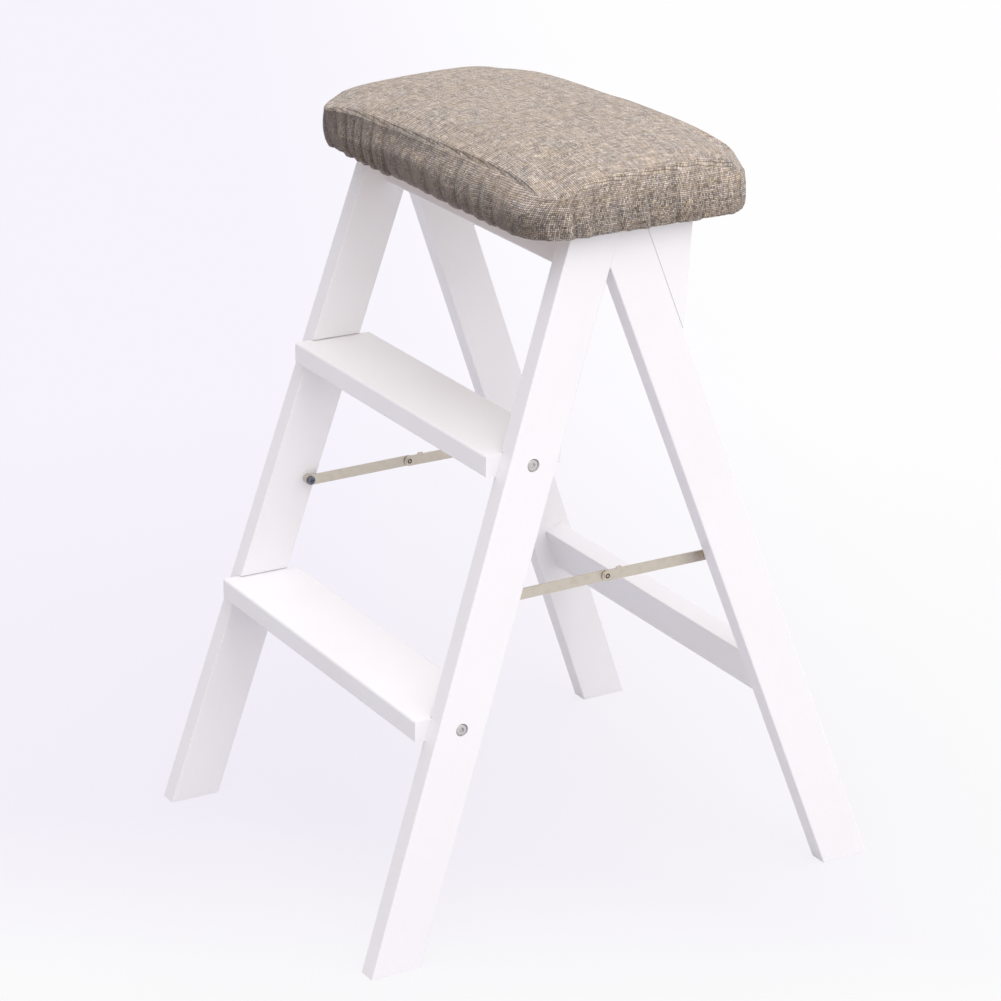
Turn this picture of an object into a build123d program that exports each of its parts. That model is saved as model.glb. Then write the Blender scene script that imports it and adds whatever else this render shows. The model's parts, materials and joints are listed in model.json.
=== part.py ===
from build123d import *
import math
import os

# Folding ladder stool: two splayed side frames, two treads, a padded seat and folding stays.
# Lengths are in millimetres. X runs across the stool, the climbing side faces -Y, +Z is up
# and the floor is z = 0. Inside a frame, 'along' runs up the frame and 'into' runs through
# it, from its front face towards its rear face.

os.makedirs("parts", exist_ok=True)

# Overall driving dimensions.
front_lean_deg = 17.8
rear_lean_deg = 21.1
front_splay_deg = 2.4
rear_splay_deg = 3.3
front_foot_width = 398.0
rear_foot_start = 454.0
frame_top_z = 610.0
board_thickness = 18.0
stile_width = 45.0
leg_width = 43.5
arris = 1.2
fit_gap = 0.05
mitre_gap = 0.1
sides = {"left": -1, "right": 1}

# Treads.
tread_tops = {"lower": 213.7, "upper": 430.0}
tread_thickness = 19.0
tread_depth = 73.7
tread_nose = 15.7
tread_housing = 3.6
tread_arris = 2.2
housing_slack = 0.7

# Connector bolts of the treads.
bolt_head_dia = 9.6
bolt_head_thickness = 2.6
bolt_recess_depth = 3.4
bolt_recess_dia = 11.4
bolt_shank_dia = 6.0
bolt_socket_width = 4.0
bolt_socket_depth = 1.6
bolt_reach = 34.0
barrel_dia = 10.0
barrel_length = 13.0
barrel_setback = 27.0

# Front apron, top rail of the legs, cross rail.
apron_bottom_along = 605.3
apron_thickness = 18.0
leaf_thickness = 1.2
leaf_play = 0.05
top_rail_thickness = 18.0
top_rail_rise = 2.0
cross_rail_low = 157.0
cross_rail_high = 201.0
cross_rail_setback = 17.0
cross_rail_thickness = 18.0
dowel_dia = 8.0
dowel_reach = 14.0
dowel_fit = 0.05
apron_dowel_along = (619.0, 637.0)
top_dowel_along = (634.0, 648.0)
cross_dowel_along = (168.0, 190.0)

# Fold hinges under the seat.
hinge_offset_share = 0.61
hinge_width = 50.0
hinge_rise = 30.0
knuckle_dia = 6.0
knuckle_back = 2.6
hinge_pin_dia = 2.6
hinge_pin_head = 0.8
knuckle_gap = 0.2
knuckle_count = 3
leaf_clear = 0.3
leaf_screw_spread = 30.0
leaf_screw_along = 15.0

# Wood screws.
screw_shank_dia = 3.2
csk_head_dia = 6.0
csk_head_depth = 1.1
leaf_screw_length = 14.0
seat_screw_length = 34.0
seat_csk_head_dia = 8.0
seat_csk_depth = 2.4
wedge_screw_length = 46.0
wedge_screw_low_length = 34.0
pan_head_dia = 7.2
pan_head_height = 2.4
pan_head_round = 0.9
cross_slot_length = 4.0
cross_slot_width = 0.9
cross_slot_depth = 1.1

# Wedges behind the leg tops.
wedge_height = 95.2
wedge_lean_deg = 5.5
wedge_tip_thickness = 0.6
wedge_screw_drops = (11.4, 48.0)

# Folding stays.
stay_front_y = 134.3
stay_front_z = 299.3
stay_elbow_y = {"left": 235.4, "right": 245.4}
stay_elbow_lift = 0.6
stay_rear_into = 8.0
stay_rear_z = 300.4
stay_stand_off = 5.7
stay_bar_height = 9.6
stay_bar_thickness = 1.5
stay_bar_gap = 0.2
stay_pin_dia = 4.0
stay_sleeve_dia = 8.6
stay_screw_reach = 12.0
stay_head_dia = 8.0
stay_head_height = 2.2
stay_rivet_head_dia = 6.4
stay_rivet_head_height = 0.7
stay_tab_length = 5.0
stay_tab_rise = 1.6
stay_tab_offset = 9.0
stay_open_clearance = 0.3

# Seat.
seat_centre_y = 259.5
seat_side_overhang = 8.7
seat_board_depth = 208.0
seat_board_thickness = 15.0
seat_corner_radius = 28.0
seat_board_arris = 2.0
foam_edge_height = 22.5
foam_crown_x = 12.0
foam_crown_y = 14.0
foam_shoulder = 12.0
cover_thickness = 2.0
cover_play = 0.15
hem_drop = 2.0
hem_reach = 5.4
elastic_width = 3.0
seat_screw_apron_share = 0.48

# Working values.
far = 900.0
low_end = -60.0
high_end_share = 1.2
high_end = frame_top_z * high_end_share
wedge_slab_depth = 80.0
long_edge_share = 0.99
full_turn_deg = 360.0
socket_sides = 6
front_lean = math.radians(front_lean_deg)
rear_lean = math.radians(rear_lean_deg)
front_splay = math.radians(front_splay_deg)
rear_splay = math.radians(rear_splay_deg)
half_share = 0.5
foot_span_y = rear_foot_start + leg_width / math.cos(rear_lean)
shift_y = -foot_span_y * half_share


def front_point(x, along, into):
    """Point of the front frame, in the stool's own frame."""
    y = along * math.sin(front_lean) + into * math.cos(front_lean)
    z = along * math.cos(front_lean) - into * math.sin(front_lean)
    return Vector(x, y + shift_y, z)


def rear_point(x, along, into):
    """Point of the rear frame, in the stool's own frame."""
    y = rear_foot_start - along * math.sin(rear_lean) + into * math.cos(rear_lean)
    z = along * math.cos(rear_lean) + into * math.sin(rear_lean)
    return Vector(x, y + shift_y, z)


front_plane = Plane(
    origin=(0, shift_y, 0), x_dir=(1, 0, 0), z_dir=(0, -math.cos(front_lean), math.sin(front_lean))
)
rear_plane = Plane(
    origin=(0, shift_y + rear_foot_start, 0),
    x_dir=(1, 0, 0),
    z_dir=(0, -math.cos(rear_lean), -math.sin(rear_lean)),
)

front_half = front_foot_width * half_share
stile_rear_run = stile_width / math.cos(front_lean)
apex_z = (rear_foot_start - stile_rear_run) / (math.tan(front_lean) + math.tan(rear_lean))
apex_along = (apex_z + stile_width * math.sin(front_lean)) / math.cos(front_lean)
apex_half = front_half - math.tan(front_splay) * apex_along
rear_half = apex_half + math.tan(rear_splay) * apex_z / math.cos(rear_lean)
front_face_run = board_thickness / math.cos(front_splay)
rear_face_run = board_thickness / math.cos(rear_splay)


def front_outer(along):
    """Half width to the outer face of a stile."""
    return front_half - math.tan(front_splay) * along


def front_inner(along):
    """Half width to the inner face of a stile."""
    return front_outer(along) - front_face_run


def rear_outer(along):
    """Half width to the outer face of a rear leg."""
    return rear_half - math.tan(rear_splay) * along


def rear_inner(along):
    """Half width to the inner face of a rear leg."""
    return rear_outer(along) - rear_face_run


def slab(plane, points, into_start, into_end):
    """Polygon in a frame's face plane, extruded through the frame."""
    origin = plane.from_local_coords(Vector(0, 0, -into_start))
    face = Plane(origin=origin, x_dir=plane.x_dir, z_dir=plane.z_dir)
    outline = face * make_face(Polyline([Vector(px, pa) for px, pa in points], close=True).edges())
    return extrude(outline, amount=into_end - into_start, dir=-plane.z_dir)


def block(x0, x1, y0, y1, z0, z1):
    """Box between two corners, y given before the shift to the centred frame."""
    centre = ((x0 + x1) * half_share, (y0 + y1) * half_share + shift_y, (z0 + z1) * half_share)
    return Pos(*centre) * Box(abs(x1 - x0), abs(y1 - y0), abs(z1 - z0))


def rod(start, end, dia):
    """Cylinder from one point to another."""
    start = Vector(*start)
    end = Vector(*end)
    run = end - start
    plane = Plane(origin=start, z_dir=run.normalized())
    return extrude(plane * Circle(dia * half_share), amount=run.length)


def cone_rod(start, end, dia_start, dia_end):
    """Tapered round bar from one point to another."""
    start = Vector(*start)
    end = Vector(*end)
    run = end - start
    plane = Plane(origin=start, z_dir=run.normalized())
    centre = plane * Pos(0, 0, run.length * half_share)
    return centre * Cone(dia_start * half_share, dia_end * half_share, run.length)


def solids_of(shape):
    """The separate solids of a shape."""
    return list(shape.solids())


def biggest(shape):
    """The largest solid of a shape."""
    return max(solids_of(shape), key=lambda s: s.volume)


def save(name, shape):
    """Writes one node."""
    shape.label = name
    export_step(shape, f"parts/{name}.step")


def group(pieces):
    """Separate identical solids as one node."""
    return Compound(children=[biggest(p) for p in pieces])


below_floor = block(-far, far, -far, far, -far, 0)
above_frame = block(-far, far, -far, far, frame_top_z, frame_top_z + far)

# Fold axis, just below the apex where the leg's front face meets the stile's rear face.
apex_angle = front_lean + rear_lean
axis_into = stile_width + knuckle_back
axis_along = apex_along - knuckle_back / math.tan(apex_angle * half_share)
axis_point = front_point(0, axis_along, axis_into)


def long_edges(shape, plane):
    """Edges that run up the board."""
    found = []
    for edge in shape.edges():
        if edge.geom_type != GeomType.LINE:
            continue
        run = edge.tangent_at(half_share)
        if abs(run.dot(plane.y_dir)) > long_edge_share and edge.length > leg_width:
            found.append(edge)
    return found


# Treads.
treads = {}
tread_ends = {}
tread_fronts = {}
for name, top in tread_tops.items():
    along_mid = top / math.cos(front_lean)
    half = front_inner(along_mid) + tread_housing
    front_y = top * math.tan(front_lean) - tread_nose
    tread_ends[name] = half
    tread_fronts[name] = front_y
    tread = block(-half, half, front_y, front_y + tread_depth, top - tread_thickness, top)
    rounded = [e for e in tread.edges() if abs(e.tangent_at(half_share).X) > long_edge_share]
    tread = fillet(rounded, tread_arris)
    # behind the stiles the tongues stop, so that the folded legs pass by
    for sign in sides.values():
        inner = sign * front_inner(along_mid)
        tread = tread - slab(
            front_plane,
            [(inner, -far), (inner, far), (sign * far, far), (sign * far, -far)],
            stile_width,
            far,
        )
    treads[name] = biggest(tread)

# Stiles.
mitre_points = [(-far, apex_along), (-far, far), (far, far), (far, apex_along)]
stiles = {}
for side, sign in sides.items():
    corners = [
        (sign * front_outer(low_end), low_end),
        (sign * front_outer(high_end), high_end),
        (sign * front_inner(high_end), high_end),
        (sign * front_inner(low_end), low_end),
    ]
    stile = slab(front_plane, corners, 0, stile_width)
    square = stile - below_floor - above_frame
    stile = fillet(long_edges(biggest(square), front_plane), arris)
    # above the apex the rear edges stay square, so that the mitre closes
    behind = slab(front_plane, mitre_points, stile_width - arris - arris, far)
    stile = biggest(stile + (square & behind))
    for name, top in tread_tops.items():
        half = tread_ends[name]
        inside = sign * (half - board_thickness)
        stile = stile - block(
            inside, sign * half, -far, far, top - tread_thickness, top + housing_slack
        )
    stiles[side] = biggest(stile)

# Front apron between the stiles, just in front of their rear faces.
apron_rear = stile_width - leaf_thickness
apron_front = apron_rear - apron_thickness
corners = [
    (-front_inner(apron_bottom_along), apron_bottom_along),
    (-front_inner(high_end), high_end),
    (front_inner(high_end), high_end),
    (front_inner(apron_bottom_along), apron_bottom_along),
]
apron = biggest(slab(front_plane, corners, apron_front, apron_rear) - above_frame)
bottom_edges = [
    e for e in apron.edges()
    if abs(e.tangent_at(half_share).X) > long_edge_share and e.center().Z < apex_z
]
apron = fillet(bottom_edges, arris)

# Rear legs, mitred along the stiles' rear faces.
mitre_block = slab(
    front_plane, [(-far, -far), (-far, far), (far, far), (far, -far)], -far, stile_width + mitre_gap
)
legs = {}
wedges = {}
wedge_lean = math.radians(wedge_lean_deg)
wedge_tip_z = frame_top_z - wedge_height
tip_along = (wedge_tip_z - leg_width * math.sin(rear_lean)) / math.cos(rear_lean)
tip = rear_point(0, tip_along, leg_width + wedge_tip_thickness)
wedge_normal = Vector(0, math.cos(wedge_lean), -math.sin(wedge_lean))
wedge_face = Plane(origin=tip, x_dir=(1, 0, 0), z_dir=wedge_normal)
behind_wedge = extrude(wedge_face * Rectangle(far, far), amount=far)
for side, sign in sides.items():
    corners = [
        (sign * rear_outer(low_end), low_end),
        (sign * rear_outer(high_end), high_end),
        (sign * rear_inner(high_end), high_end),
        (sign * rear_inner(low_end), low_end),
    ]
    leg = slab(rear_plane, corners, 0, leg_width)
    leg = biggest(leg - below_floor)
    leg = fillet(long_edges(leg, rear_plane), arris)
    leg = leg - above_frame - mitre_block
    legs[side] = biggest(leg)
    wedge = slab(rear_plane, corners, leg_width, leg_width + wedge_slab_depth)
    below_tip = block(-far, far, -far, far, -far, wedge_tip_z)
    wedge = biggest(wedge - above_frame - below_tip - behind_wedge - mitre_block)
    rear_edges = [
        e for e in wedge.edges()
        if e.geom_type == GeomType.LINE
        and abs(wedge_face.to_local_coords(e.center()).Z) < fit_gap
        and abs(e.tangent_at(half_share).Z) > long_edge_share * math.cos(wedge_lean)
    ]
    wedge = fillet(rear_edges, arris)
    wedges[side] = biggest(wedge)

# Rails between the legs.
between_legs = slab(
    rear_plane,
    [
        (-rear_inner(0), 0),
        (-rear_inner(high_end), high_end),
        (rear_inner(high_end), high_end),
        (rear_inner(0), 0),
    ],
    -far,
    far,
)
rail_front = stile_width + leaf_thickness + leaf_play
rail_low = apex_along + top_rail_rise
top_rail = slab(
    front_plane,
    [(-far, rail_low), (-far, high_end), (far, high_end), (far, rail_low)],
    rail_front,
    rail_front + top_rail_thickness,
)
top_rail = biggest((top_rail & between_legs) - above_frame)
corners = [
    (-rear_inner(cross_rail_low), cross_rail_low),
    (-rear_inner(cross_rail_high), cross_rail_high),
    (rear_inner(cross_rail_high), cross_rail_high),
    (rear_inner(cross_rail_low), cross_rail_low),
]
cross_rail = slab(rear_plane, corners, cross_rail_setback, cross_rail_setback + cross_rail_thickness)
rail_edges = [e for e in cross_rail.edges() if abs(e.tangent_at(half_share).X) > long_edge_share]
cross_rail = fillet(rail_edges, arris)

# Dowels in the rail ends.
apron_dowels = []
top_rail_dowels = []
cross_rail_dowels = []
apron_mid = apron_front + apron_thickness * half_share
top_rail_mid = rail_front + top_rail_thickness * half_share
cross_mid = cross_rail_setback + cross_rail_thickness * half_share
dowel_hole = dowel_dia + dowel_fit + dowel_fit
dowel_ends = (-dowel_reach, dowel_reach)
for side, sign in sides.items():
    for along in apron_dowel_along:
        x_face = front_inner(along)
        ends = [front_point(sign * (x_face + d), along, apron_mid) for d in dowel_ends]
        apron_dowels.append(rod(*ends, dowel_dia))
        hole = rod(*ends, dowel_hole)
        apron = apron - hole
        stiles[side] = stiles[side] - hole
    for along in top_dowel_along:
        spot = front_point(0, along, top_rail_mid)
        rear_along = rear_plane.to_local_coords(spot).Y
        x_face = rear_inner(rear_along)
        ends = [front_point(sign * (x_face + d), along, top_rail_mid) for d in dowel_ends]
        top_rail_dowels.append(rod(*ends, dowel_dia))
        hole = rod(*ends, dowel_hole)
        top_rail = top_rail - hole
        legs[side] = legs[side] - hole
    for along in cross_dowel_along:
        x_face = rear_inner(along)
        ends = [rear_point(sign * (x_face + d), along, cross_mid) for d in dowel_ends]
        cross_rail_dowels.append(rod(*ends, dowel_dia))
        hole = rod(*ends, dowel_hole)
        cross_rail = cross_rail - hole
        legs[side] = legs[side] - hole

# Connector bolts and barrel nuts of the treads.
tread_bolts = []
barrel_nuts = []
stile_mid = stile_width * half_share
for name, top in tread_tops.items():
    bolt_z = top - tread_thickness * half_share
    along = (bolt_z + stile_mid * math.sin(front_lean)) / math.cos(front_lean)
    bolt_y = front_point(0, along, stile_mid).Y
    x_face = front_outer(along)
    x_seat = x_face - bolt_recess_depth
    x_inner_end = x_seat - bolt_reach - bolt_head_thickness
    x_barrel = tread_ends[name] - barrel_setback
    for side, sign in sides.items():
        seat = (sign * (x_seat), bolt_y, bolt_z)
        top_of_head = (sign * (x_seat + bolt_head_thickness), bolt_y, bolt_z)
        inner_end = (sign * x_inner_end, bolt_y, bolt_z)
        far_out = (sign * (x_face + bolt_recess_dia), bolt_y, bolt_z)
        head = rod(seat, top_of_head, bolt_head_dia)
        rim = [e for e in head.edges() if abs(e.center().X) > x_seat + fit_gap]
        head = fillet(rim, pan_head_round)
        bolt = head + rod(inner_end, seat, bolt_shank_dia)
        socket_plane = Plane(origin=top_of_head, z_dir=(-sign, 0, 0))
        hexagon = RegularPolygon(bolt_socket_width * half_share, socket_sides, major_radius=False)
        bolt = bolt - extrude(socket_plane * hexagon, amount=bolt_socket_depth)
        tread_bolts.append(bolt)
        hole = rod(inner_end, far_out, bolt_shank_dia + fit_gap + fit_gap)
        recess = rod(seat, far_out, bolt_recess_dia)
        barrel_low = (sign * x_barrel, bolt_y, bolt_z - tread_thickness * half_share)
        barrel_start = (sign * x_barrel, bolt_y, bolt_z - barrel_length * half_share)
        barrel_end = (sign * x_barrel, bolt_y, bolt_z + barrel_length * half_share)
        barrel = rod(barrel_start, barrel_end, barrel_dia) - hole
        barrel_nuts.append(barrel)
        treads[name] = treads[name] - hole
        treads[name] = treads[name] - rod(barrel_low, barrel_end, barrel_dia + fit_gap + fit_gap)
        stiles[side] = stiles[side] - hole - recess

# Fold hinges: front leaf on the apron, rear leaf on the top rail.
hinge_offset = hinge_offset_share * front_inner(apex_along)
hinge_pins = []
front_leaves = {}
rear_leaves = {}
front_leaf_screws = []
rear_leaf_screws = []
segment = hinge_width / knuckle_count
leaf_top = axis_along + hinge_rise


def csk_screw(seat, direction, head_dia, head_depth, shank_dia, length, grow):
    """Countersunk screw: the head's face lies at the seat point."""
    seat = Vector(*seat)
    run = Vector(*direction).normalized()
    neck = seat + run * head_depth
    head = cone_rod(seat, neck, head_dia + grow, shank_dia + grow)
    return head + rod(neck - run * fit_gap, seat + run * length, shank_dia + grow)


def cross_slot(seat, direction, across, depth):
    """Cross recess for a driver, sunk in a head along its axis."""
    plane = Plane(origin=Vector(*seat), x_dir=Vector(*across), z_dir=Vector(*direction))
    arms = Rectangle(cross_slot_length, cross_slot_width) + Rectangle(cross_slot_width, cross_slot_length)
    return extrude(plane * arms, amount=depth)


into_dir = front_plane.z_dir * -1
for side, sign in sides.items():
    centre = sign * hinge_offset
    x_low = centre - hinge_width * half_share
    edges_x = [x_low + segment * k for k in range(knuckle_count + 1)]
    flange = [
        (edges_x[0], axis_along),
        (edges_x[0], leaf_top),
        (edges_x[-1], leaf_top),
        (edges_x[-1], axis_along),
    ]
    clear_top = axis_along + knuckle_dia * half_share + leaf_clear
    clear_low = axis_along - knuckle_dia
    front_leaf = slab(front_plane, flange, stile_width - leaf_thickness, stile_width)
    rear_leaf = slab(front_plane, flange, stile_width + leaf_play, rail_front)
    for k in range(knuckle_count):
        x0 = edges_x[k] + knuckle_gap * half_share
        x1 = edges_x[k + 1] - knuckle_gap * half_share
        barrel = rod(
            front_point(x0, axis_along, axis_into), front_point(x1, axis_along, axis_into), knuckle_dia
        )
        notch_points = [
            (edges_x[k] - knuckle_gap, clear_low),
            (edges_x[k] - knuckle_gap, clear_top),
            (edges_x[k + 1] + knuckle_gap, clear_top),
            (edges_x[k + 1] + knuckle_gap, clear_low),
        ]
        notch = slab(front_plane, notch_points, stile_width - board_thickness, axis_into + knuckle_dia)
        if k % 2 == 0:
            rear_leaf = rear_leaf - notch
            front_leaf = front_leaf + barrel
        else:
            front_leaf = front_leaf - notch
            rear_leaf = rear_leaf + barrel
    pin_start = front_point(x_low, axis_along, axis_into)
    pin_end = front_point(x_low + hinge_width, axis_along, axis_into)
    bore = rod(
        front_point(x_low - hinge_width, axis_along, axis_into),
        front_point(x_low + hinge_width + hinge_width, axis_along, axis_into),
        hinge_pin_dia + fit_gap + fit_gap,
    )
    pin = rod(pin_start, pin_end, hinge_pin_dia)
    for spot, out in ((pin_start, -1), (pin_end, 1)):
        cap_end = spot + Vector(out * hinge_pin_head, 0, 0)
        pin = pin + rod(spot, cap_end, knuckle_dia - knuckle_back)
    hinge_pins.append(pin)
    front_leaf = front_leaf - bore
    rear_leaf = rear_leaf - bore
    for dx in (-leaf_screw_spread * half_share, leaf_screw_spread * half_share):
        along = axis_along + leaf_screw_along
        seat = front_point(centre + dx, along, stile_width)
        out = (seat, -into_dir, csk_head_dia, csk_head_depth, screw_shank_dia, leaf_screw_length)
        across = (1, 0, 0)
        screw = csk_screw(*out, 0)
        screw = screw - cross_slot(seat, -into_dir, across, csk_head_depth)
        front_leaf_screws.append(screw)
        cutter = csk_screw(*out, fit_gap + fit_gap)
        front_leaf = front_leaf - cutter
        apron = apron - cutter
        seat = front_point(centre + dx, along, stile_width + leaf_play)
        out = (seat, into_dir, csk_head_dia, csk_head_depth, screw_shank_dia, leaf_screw_length)
        screw = csk_screw(*out, 0)
        screw = screw - cross_slot(seat, into_dir, across, csk_head_depth)
        rear_leaf_screws.append(screw)
        cutter = csk_screw(*out, fit_gap + fit_gap)
        rear_leaf = rear_leaf - cutter
        top_rail = top_rail - cutter
    front_leaves[side] = front_leaf
    rear_leaves[side] = rear_leaf

# Pan-head screws through the wedges into the legs.
wedge_screws = []


def pan_screw(seat, out, length, head_dia, head_height, shank_dia):
    """Pan-head screw: the head stands on the seat point, the shank goes the other way."""
    seat = Vector(*seat)
    out = Vector(*out).normalized()
    head = rod(seat, seat + out * head_height, head_dia)
    rim = [e for e in head.edges() if (e.center() - seat).dot(out) > head_height * half_share]
    head = fillet([e for e in rim if e.geom_type == GeomType.CIRCLE], pan_head_round)
    screw = head + rod(seat - out * length, seat, shank_dia)
    across = Vector(1, 0, 0) if abs(out.X) < long_edge_share else Vector(0, 1, 0)
    top = seat + out * head_height
    return screw - cross_slot(top, -out, across, cross_slot_depth)


for side, sign in sides.items():
    for drop, length in zip(wedge_screw_drops, (wedge_screw_length, wedge_screw_low_length)):
        rise = (frame_top_z - drop - tip.Z) / math.cos(wedge_lean)
        seat = tip + Vector(0, math.sin(wedge_lean), math.cos(wedge_lean)) * rise
        along = rear_plane.to_local_coords(seat).Y
        x_mid = rear_outer(along) - rear_face_run * half_share
        seat = Vector(sign * x_mid, seat.Y, seat.Z)
        wedge_screws.append(
            pan_screw(seat, wedge_normal, length, pan_head_dia, pan_head_height, screw_shank_dia)
        )
        hole_dia = screw_shank_dia + fit_gap + fit_gap
        hole = rod(seat - wedge_normal * length, seat + wedge_normal, hole_dia)
        wedges[side] = wedges[side] - hole
        legs[side] = legs[side] - hole

# Folding stays.
stay_nodes = {}
rear_pivot_along = (stay_rear_z - stay_rear_into * math.sin(rear_lean)) / math.cos(rear_lean)
rear_pivot = rear_point(0, rear_pivot_along, stay_rear_into)
front_pivot_y = stay_front_y + shift_y
front_pivot_along = front_plane.to_local_coords(Vector(0, front_pivot_y, stay_front_z)).Y
stay_outer_x = front_inner(front_pivot_along) - stay_stand_off


def bar(x_outer, x_inner, start, end):
    """Flat link with round ends, between two pivots given as (y, z)."""
    y0, z0 = start
    y1, z1 = end
    length = math.hypot(y1 - y0, z1 - z0)
    plane = Plane(
        origin=(x_outer, (y0 + y1) * half_share, (z0 + z1) * half_share),
        x_dir=(0, (y1 - y0) / length, (z1 - z0) / length),
        z_dir=(math.copysign(1, x_inner - x_outer), 0, 0),
    )
    shape = SlotCenterToCenter(length, stay_bar_height)
    return extrude(plane * shape, amount=abs(x_inner - x_outer))


for side, sign in sides.items():
    elbow_y = stay_elbow_y[side] + shift_y
    run_share = (elbow_y - front_pivot_y) / (rear_pivot.Y - front_pivot_y)
    elbow_z = stay_front_z + run_share * (rear_pivot.Z - stay_front_z) + stay_elbow_lift
    outer_lane = (stay_outer_x, stay_outer_x - stay_bar_thickness)
    lane_step = stay_bar_thickness + stay_bar_gap
    inner_lane = (stay_outer_x - lane_step, stay_outer_x - lane_step - stay_bar_thickness)
    front_lane, rear_lane = (outer_lane, inner_lane) if side == "left" else (inner_lane, outer_lane)
    front_eye = (front_pivot_y, stay_front_z)
    elbow = (elbow_y, elbow_z)
    rear_eye = (rear_pivot.Y, rear_pivot.Z)
    front_bar = bar(sign * front_lane[0], sign * front_lane[1], front_eye, elbow)
    rear_bar = bar(sign * rear_lane[0], sign * rear_lane[1], elbow, rear_eye)
    # stop tab, turned over the other bar beside the elbow
    tab_lanes = sorted((front_lane[0], front_lane[1], rear_lane[0], rear_lane[1]))
    tab_y0 = elbow_y + stay_tab_offset - shift_y
    tab_z0 = elbow_z + stay_bar_height * half_share - fit_gap
    tab = block(
        sign * rear_lane[0], sign * rear_lane[1],
        tab_y0, tab_y0 + stay_tab_length, tab_z0 - stay_tab_rise, tab_z0 + stay_tab_rise,
    )
    rear_bar = rear_bar + tab
    # front pivot: pan screw through the bar and a sleeve into the stile
    head_seat = (sign * front_lane[1], front_pivot_y, stay_front_z)
    face_x = front_inner(front_pivot_along)
    reach = face_x - front_lane[1] + stay_screw_reach
    screw = pan_screw(head_seat, (-sign, 0, 0), reach, stay_head_dia, stay_head_height, stay_pin_dia)
    hole_end = (sign * (front_lane[1] + reach), front_pivot_y, stay_front_z)
    inboard = (sign * (front_lane[1] - board_thickness), front_pivot_y, stay_front_z)
    pivot_hole = rod(inboard, hole_end, stay_pin_dia + fit_gap + fit_gap)
    sleeve_end = (sign * (face_x + stay_bar_thickness), front_pivot_y, stay_front_z)
    sleeve_start = (sign * (front_lane[0] + fit_gap), front_pivot_y, stay_front_z)
    sleeve = rod(sleeve_start, sleeve_end, stay_sleeve_dia)
    sleeve = biggest(sleeve - stiles[side] - pivot_hole)
    stiles[side] = stiles[side] - pivot_hole
    front_bar = front_bar - pivot_hole
    # elbow rivet through both bars
    lanes_out = stay_outer_x
    lanes_in = inner_lane[1]
    rivet_out = (sign * lanes_out, elbow_y, elbow_z)
    rivet_in = (sign * lanes_in, elbow_y, elbow_z)
    rivet = rod(rivet_in, rivet_out, stay_pin_dia)
    for spot, out in ((rivet_out, sign), (rivet_in, -sign)):
        cap = rod(spot, (spot[0] + out * stay_rivet_head_height, elbow_y, elbow_z), stay_rivet_head_dia)
        rivet = rivet + cap
    elbow_hole = rod(
        (sign * (lanes_in - board_thickness), elbow_y, elbow_z),
        (sign * (lanes_out + board_thickness), elbow_y, elbow_z),
        stay_pin_dia + fit_gap + fit_gap,
    )
    front_bar = front_bar - elbow_hole
    rear_bar = rear_bar - elbow_hole
    # rear pivot, left open: a shouldered stud on the leg ends just short of the bar's eye
    leg_face_x = rear_inner(rear_pivot_along)
    stud_end = rear_lane[0] + stay_open_clearance
    stud = rod(
        (sign * stud_end, rear_pivot.Y, rear_pivot.Z),
        (sign * (leg_face_x + stay_bar_thickness), rear_pivot.Y, rear_pivot.Z),
        stay_sleeve_dia,
    )
    shank_hole = rod(
        (sign * stud_end, rear_pivot.Y, rear_pivot.Z),
        (sign * (leg_face_x + stay_screw_reach), rear_pivot.Y, rear_pivot.Z),
        stay_pin_dia + fit_gap + fit_gap,
    )
    shank = rod(
        (sign * stud_end, rear_pivot.Y, rear_pivot.Z),
        (sign * (leg_face_x + stay_screw_reach), rear_pivot.Y, rear_pivot.Z),
        stay_pin_dia,
    )
    stud = biggest(stud - legs[side]) + shank
    legs[side] = legs[side] - shank_hole
    eye_hole = rod(
        (sign * (lanes_in - board_thickness), rear_pivot.Y, rear_pivot.Z),
        (sign * (lanes_out + board_thickness), rear_pivot.Y, rear_pivot.Z),
        stay_pin_dia + fit_gap + fit_gap,
    )
    rear_bar = rear_bar - eye_hole
    stay_nodes[f"stay_front_bar_{side}"] = front_bar
    stay_nodes[f"stay_rear_bar_{side}"] = rear_bar
    stay_nodes[f"stay_front_screw_{side}"] = screw
    stay_nodes[f"stay_front_sleeve_{side}"] = sleeve
    stay_nodes[f"stay_elbow_rivet_{side}"] = rivet
    stay_nodes[f"stay_rear_stud_{side}"] = stud

# Seat: board, crowned foam and a fitted cover with a hemmed skirt.
seat_y = seat_centre_y + shift_y
top_along = frame_top_z / math.cos(front_lean)
seat_board_width = (front_outer(top_along) + seat_side_overhang) / half_share
board_top_z = frame_top_z + seat_board_thickness
foam_top_z = board_top_z + foam_edge_height


def rounded_prism(width, depth, radius, z0, z1):
    """Upright prism with rounded corners, centred on the seat."""
    plane = Plane(origin=(0, seat_y, z0))
    return extrude(plane * RectangleRounded(width, depth, radius), amount=z1 - z0)


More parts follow.
